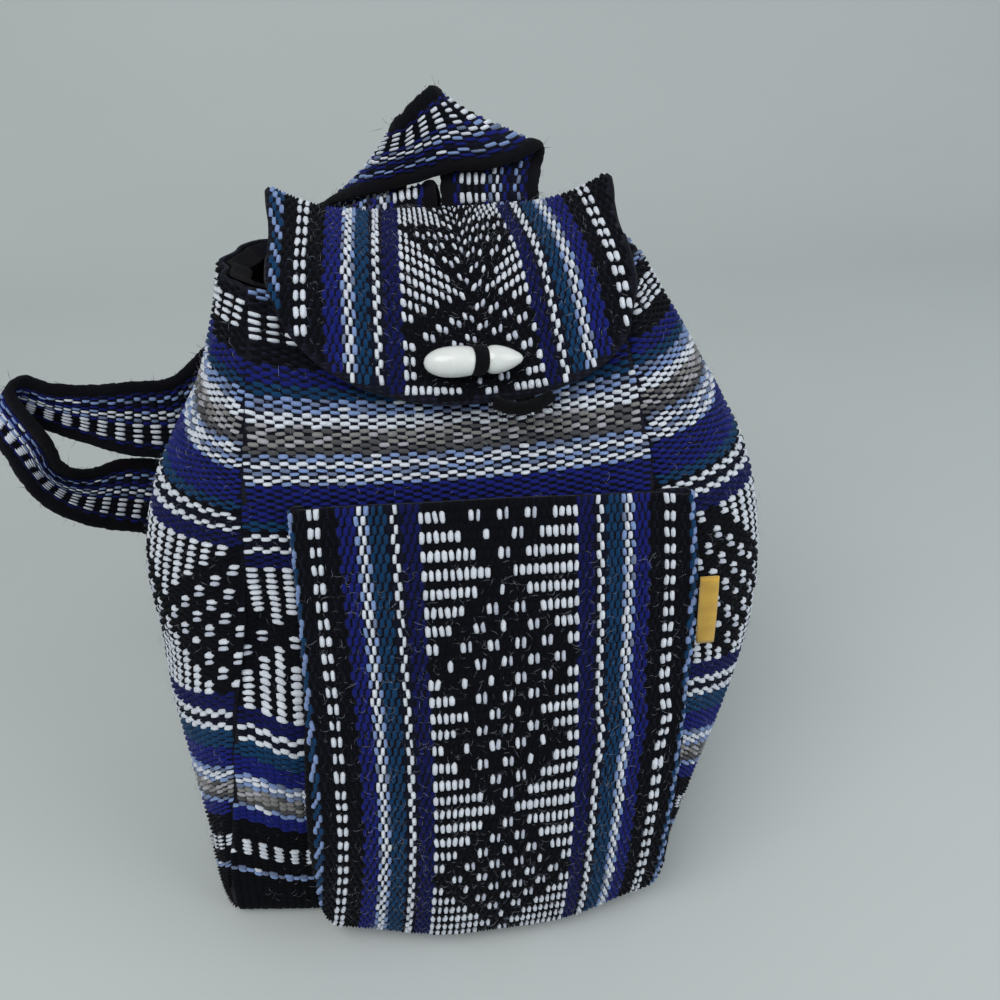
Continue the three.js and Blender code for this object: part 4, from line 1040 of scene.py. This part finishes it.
STRAP_RIGHT = np.array([
    (-0.1359, 1.0942, 0.9708, 1, 0, 0, 1.00),
    (-0.1359, 1.1231, 1.0042, 1, 0, 0, 1.00),
    (-0.1311, 1.1808, 1.0250, 0.96, 0, 0.18, 0.98),
    (-0.1262, 1.2692, 1.0275, 0.96, 0, 0.26, 0.98),
    (-0.1165, 1.3346, 1.0125, 0.96, 0, 0.20, 1.00),
    (-0.1068, 1.3577, 0.9750, 0.98, 0, 0.12, 1.00),
    (-0.0194, 1.4038, 0.8583, 0.92, 0, 0.38, 1.00),
    (0.1748, 1.4423, 0.6875, 0.88, 0, 0.46, 1.00),
    (0.3689, 1.4423, 0.5083, 0.90, 0, 0.42, 1.00),
    (0.5243, 1.3462, 0.3333, 0.95, 0, 0.30, 1.00),
    (0.5728, 1.1538, 0.2000, 0.98, 0, 0.15, 1.00),
    (0.5825, 1.0269, 0.1250, 1, -0.08, 0.05, 1.00),
    (0.5825, 0.9962, 0.0667, 1, -0.08, 0, 1.00),
])
STRAP_STRIPES = stripe_columns([
    (1, "navy"), (1, "royal"), (2, "light"), (1, "night"), (2, "royal"), (1, "light"), (2, "white"),
    (1, "grey"), (1, "royal"), (7, "four"), (1, "navy"), (1, "royal"),
])


def centripetal(points, count):
    """A smooth line through the points, with the row that each place on it belongs to."""
    last = len(points) - 1
    places, rows = [], []
    for t in np.linspace(0, last, count):
        i = min(int(t), last - 1)
        f = t - i
        p1, p2 = points[i], points[i + 1]
        p0 = points[i - 1] if i > 0 else 2 * p1 - p2
        p3 = points[i + 2] if i + 2 <= last else 2 * p2 - p1
        d0, d1, d2 = [max(np.linalg.norm(v) ** 0.5, 1e-4) for v in (p1 - p0, p2 - p1, p3 - p2)]
        t1 = ((p1 - p0) / d0 - (p2 - p0) / (d0 + d1) + (p2 - p1) / d1) * d1
        t2 = ((p2 - p1) / d1 - (p3 - p1) / (d1 + d2) + (p3 - p2) / d2) * d1
        c2 = -3 * p1 + 3 * p2 - 2 * t1 - t2
        c3 = 2 * p1 - 2 * p2 + t1 + t2
        places.append(p1 + t1 * f + c2 * f * f + c3 * f ** 3)
        rows.append(t)
    return np.array(places), np.array(rows)


class Strap:
    """Places on a strap by the way along it and across it."""

    def __init__(self, rows):
        points = rows[:, :3] * (HALF_WIDTH, HALF_DEPTH, HEIGHT)
        line, at = centripetal(points, 2400)
        self.way = ways(line, 0)
        tangent = np.gradient(line, axis=0)
        tangent /= np.linalg.norm(tangent, axis=1, keepdims=True)
        across = np.stack([np.interp(at, np.arange(len(rows)), rows[:, i]) for i in (3, 4, 5)], -1)
        across /= np.linalg.norm(across, axis=1, keepdims=True)
        across -= (across * tangent).sum(1, keepdims=True) * tangent * 0.15
        across /= np.linalg.norm(across, axis=1, keepdims=True)
        normal = np.cross(tangent, across)
        normal /= np.linalg.norm(normal, axis=1, keepdims=True)
        self.line, self.across, self.normal = line, across, normal
        self.half = np.interp(at, np.arange(len(rows)), rows[:, 6]) * STRAP_WIDE / 2
        self.length = self.way[-1]

    def read(self, field, p):
        field = np.asarray(field)
        if field.ndim == 1:
            return np.interp(p, self.way, field)
        return np.stack([np.interp(p, self.way, field[:, i]) for i in range(3)], -1)

    def place(self, p, q, out):
        """q is in mm across the band at its full width."""
        inner = (self.read(self.half, p) - EDGE_WIDE) / BAND_HALF
        return (
            self.read(self.line, p)
            + self.read(self.across, p) * (q * inner)[..., None]
            + self.read(self.normal, p) * np.asarray(out)[..., None]
        )


def strap_floats(name, strap, stripes):
    columns = len(stripes)
    picks = np.arange(int(strap.length / PERIOD))
    k, m = [grid.ravel() for grid in np.meshgrid(np.arange(columns), picks, indexing="ij")]
    p = 3.0 + (m + 0.5 * (k % 2)) * PERIOD
    q = ((k + 0.5) / columns * 2 - 1) * (BAND_HALF + 0.6)
    kept = p < strap.length - 3
    k, m, p, q = k[kept], m[kept], p[kept], q[kept]
    yarns = yarn_of(stripes, k, m, figure_bar)
    wide, long = float_sizes(stripes, k, yarns)
    wide = wide * 2 * BAND_HALF / columns
    pieces = []
    for label, sign in (("top", 1), ("under", -1)):
        def place(pp, qq, out, sign=sign):
            return strap.place(pp, qq, sign * (np.asarray(out) + STRAP_CLOTH / 2 - 0.25))

        pieces.append(woven(f"{name}_floats_{label}", place, (p, q), yarns, (wide, long), flip=sign > 0))
    return pieces


def strap_cloth(name, strap):
    p, q = np.meshgrid(np.linspace(0, strap.length, int(strap.length / 3)), np.linspace(-1, 1, 7))
    q = q * (BAND_HALF + 1.2)
    outer = strap.place(p, q, np.full(p.shape, STRAP_CLOTH / 2 - 0.25))
    inner = strap.place(p, q, np.full(p.shape, -STRAP_CLOTH / 2 + 0.25))
    return closed_wall(name + "_cloth", outer[:, ::-1], inner[:, ::-1], ground)


edge_lines = []
for name, rows, stripes in (
    ("strap_left", STRAP_LEFT, STRAP_STRIPES[::-1]),
    ("strap_right", STRAP_RIGHT, STRAP_STRIPES),
):
    strap = Strap(rows)
    band = strap_cloth(name, strap)
    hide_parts(name)
    woven_sides = strap_floats(name, strap, stripes)
    for piece in (band, *woven_sides):
        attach(piece, "root")
    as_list(woven_sides)
    p = np.linspace(0, strap.length, int(strap.length / 1.1))
    for label, sign in (("edge_a", 1), ("edge_b", -1)):
        middle = strap.read(strap.half, p) - EDGE_WIDE / 2
        line = strap.read(strap.line, p) + strap.read(strap.across, p) * (sign * middle)[:, None]
        edge_lines.append(line)
        uneven = 1 + 0.05 * draw.normal(0, 1, len(p))
        along = strap.read(strap.across, p)
        wide = (EDGE_WIDE + EDGE_OVER) * uneven
        binding = swept(f"{name}_{label}_binding", line, wide, EDGE_THICK * uneven, along, black_tape)
        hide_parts(f"{name}_{label}")
        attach(binding, "root")

# Side tab: a scrap of mustard tape folded double and caught in the right seam of the pocket.
# Both of its faces are bare, and its fold is at the outer end.
low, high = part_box("side_tab")
TAB_LONGER = 4.0


def mustard_cloth():
    made, nodes, links, shader = surface("tab_cloth", (0.62, 0.36, 0.035), 0.6, Sheen_Weight=0.3)
    satin = texture(nodes, links, "Wave", Scale=900.0, Distortion=2.0)
    satin.bands_direction = "DIAGONAL"
    soil = texture(nodes, links, "Noise", Scale=220.0, Detail=5.0)
    tone = two_tone(nodes, links, soil.outputs["Fac"], (0.42, 0.22, 0.02), (0.74, 0.46, 0.05))
    links.new(tone, shader.inputs["Base Color"])
    relief(nodes, links, shader, satin.outputs["Fac"], 0.5, 0.0002)
    return made


def folded_tab():
    """A tape folded at its outer end: two layers with a round fold, slightly bowed."""
    wide = (high.x - low.x) / MM - 0.8
    tall = (high.z - low.z) / MM + TAB_LONGER
    middle = (low.y + high.y) / 2 / MM
    loop = [(0, -0.6)]
    loop += [(wide - 0.8 + 0.8 * math.sin(t), -0.6 * math.cos(t)) for t in np.linspace(0, math.pi, 9)]
    loop += [(0, 0.6), (0, 0.25)]
    loop += [(wide - 0.9 + 0.45 * math.sin(t), 0.25 * math.cos(t)) for t in np.linspace(0, math.pi, 7)]
    loop += [(0, -0.25)]
    loop = np.array(loop)
    levels = np.linspace(0, 1, 17)
    rings = []
    for level in levels:
        bow = 0.5 * math.sin(level * math.pi)
        lean = -1.8 * (level - 0.5)
        x = low.x / MM + loop[:, 0] - 0.4 + lean
        y = middle + loop[:, 1] - bow * loop[:, 0] / wide
        z = np.full(len(loop), low.z / MM - TAB_LONGER + level * tall)
        rings.append(np.stack([x, y, z], -1))
    n = len(loop)
    top = (len(levels) - 1) * n
    caps = []
    for j in range(n // 2 - 1):
        caps.append((n - 1 - j, n - 2 - j, j + 1, j))
        caps.append((top + j, top + j + 1, top + n - 2 - j, top + n - 1 - j))
    faces = np.concatenate([tube_faces(len(levels), n), np.array(caps)])
    return new_piece("side_tab_fold", np.concatenate(rings) * MM, faces, [mustard_cloth()])


tab = folded_tab()
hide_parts("side_tab")
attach(tab, "root")

# Lint: fine loose fibres of the spun cotton, lying on the cloth and standing up from it.
# They are drawn at random over the body panels, the pocket and the flap.
LINT_WIDE = 0.060


def fibres(place, p, q, long, lift):
    """Curved fibres over a cloth, as lines of points; lift is how far they stand up."""
    count, steps = len(p), 6
    along = np.linspace(0, 1, steps)
    heading = draw.uniform(0, 2 * np.pi, count)[:, None] + draw.normal(0, 1.6, count)[:, None] * along
    long = long * draw.uniform(0.4, 1.3, count)[:, None]
    dp = np.cumsum(np.cos(heading), axis=1) * long / steps
    dq = np.cumsum(np.sin(heading), axis=1) * long / steps
    out = 0.80 + lift * draw.uniform(0.1, 1.0, count)[:, None] * np.sin(along * np.pi * 0.8)
    return place(p[:, None] + dp, q[:, None] + dq, out)


def ribbons(name, lines, wide, material):
    """Fibres as narrow flat strips, joined in one piece."""
    lines = np.concatenate(lines)
    count, steps = lines.shape[:2]
    facing = draw.normal(0, 1, (count, 1, 3))
    across = np.cross(np.gradient(lines, axis=1), facing)
    across /= np.maximum(np.linalg.norm(across, axis=-1, keepdims=True), 1e-9)
    taper = (wide / 2 * np.sin(np.linspace(0.25, np.pi - 0.15, steps)))[None, :, None]
    vertices = np.stack([lines - across * taper, lines + across * taper], axis=2)
    first = np.arange(count)[:, None] * steps * 2 + np.arange(steps - 1)[None] * 2
    faces = np.stack([first, first + 1, first + 3, first + 2], -1).reshape(-1, 4)
    piece = new_piece(name, vertices.reshape(-1, 3) * MM, faces, [material])
    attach(piece, "root")
    return piece


pale_lint = yarn_material("lint", (0.34, 0.37, 0.44), 1.0)
panel_lint = []
for name, count in (("front_panel", 700), ("left_gusset", 800), ("right_gusset", 800), ("back_panel", 800)):
    panel = PANELS[name]
    q = draw.uniform(2, 250, count * 2)
    p = draw.uniform(-70, 70, count * 2)
    rise = panel.level(p, q)
    low_end, high_end = panel.ends(rise)
    kept = (rise > 0.02) & (p > low_end + 3) & (p < high_end - 3)
    panel_lint.append(fibres(panel.place, p[kept], q[kept], 3.6, 1.8))
ribbons("panel_lint", panel_lint, LINT_WIDE, pale_lint)
count = 2200
pocket_lint = fibres(pocket.place, draw.uniform(6, 180, count), draw.uniform(-56, 56, count), 3.6, 1.6)
ribbons("pocket_lint", [pocket_lint], LINT_WIDE, pale_lint)
c, p = draw.uniform(8, len(FLAP_STRIPES) - 8, 1300), draw.uniform(6, 130, 1300)
way, reach, q = flap.flat(p, c)
kept = (reach < flap_end(q / (FLAP_WIDE / 2)) - 0.05) & (way < flap.back[0] - 6)
ribbons("flap_lint", [fibres(flap.place, p[kept], c[kept], 2.8, 1.8)], LINT_WIDE, pale_lint)

# Tail of the toggle cord: a soft frayed black cord end under the flap's front edge.
# It is painted shade: a black piece that fills the dark gap where the flap's edge lifts.
SHADE_TAIL = np.array([
    (13.0, -26.6, 215.8), (17.0, -28.6, 214.9), (21.5, -29.4, 214.8), (26.0, -28.6, 215.6),
    (30.0, -26.4, 216.8),
])
SHADE_TAIL_THICK = 4.0
shade_tail_line, _ = centripetal(SHADE_TAIL, 34)
plump = SHADE_TAIL_THICK * (1 + 0.05 * draw.normal(0, 1, 34))
# Painted shade: a black cord end in the dark gap under the flap's lifted front edge.
shade_tail = swept("cord_tail_painted_shade", shade_tail_line, plump, plump, (0, 0.6, 0.8), black_cord, sides=12)
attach(shade_tail, "root")
dark_lint = yarn_material("dark_lint", (0.006, 0.006, 0.008), 0.1)


def whiskers(line, count, long, around):
    """Short fibres standing out of a cord or a bound edge."""
    at = draw.integers(0, len(line), count)
    start = line[at] + draw.normal(0, around, (count, 3))
    heading = draw.normal(0, 1, (count, 3))
    bend = draw.normal(0, 0.7, (count, 3))
    along = np.linspace(0, 1, 6)[None, :, None]
    long = long * draw.uniform(0.4, 1.2, count)[:, None, None]
    return start[:, None] + (heading[:, None] * along + bend[:, None] * along ** 2) * long * 0.7


EDGE_FUZZ_WIDE, TAIL_FUZZ_WIDE = 0.13, 0.16
edges = np.concatenate(edge_lines)
ribbons("edge_whiskers", [whiskers(edges, 5000, 2.3, 1.2)], EDGE_FUZZ_WIDE, dark_lint)
tail_fuzz = [whiskers(shade_tail_line, 420, 3.6, 1.2), whiskers(np.array(arch), 90, 2.0, 0.5)]
ribbons("tail_whiskers", tail_fuzz, TAIL_FUZZ_WIDE, dark_lint)
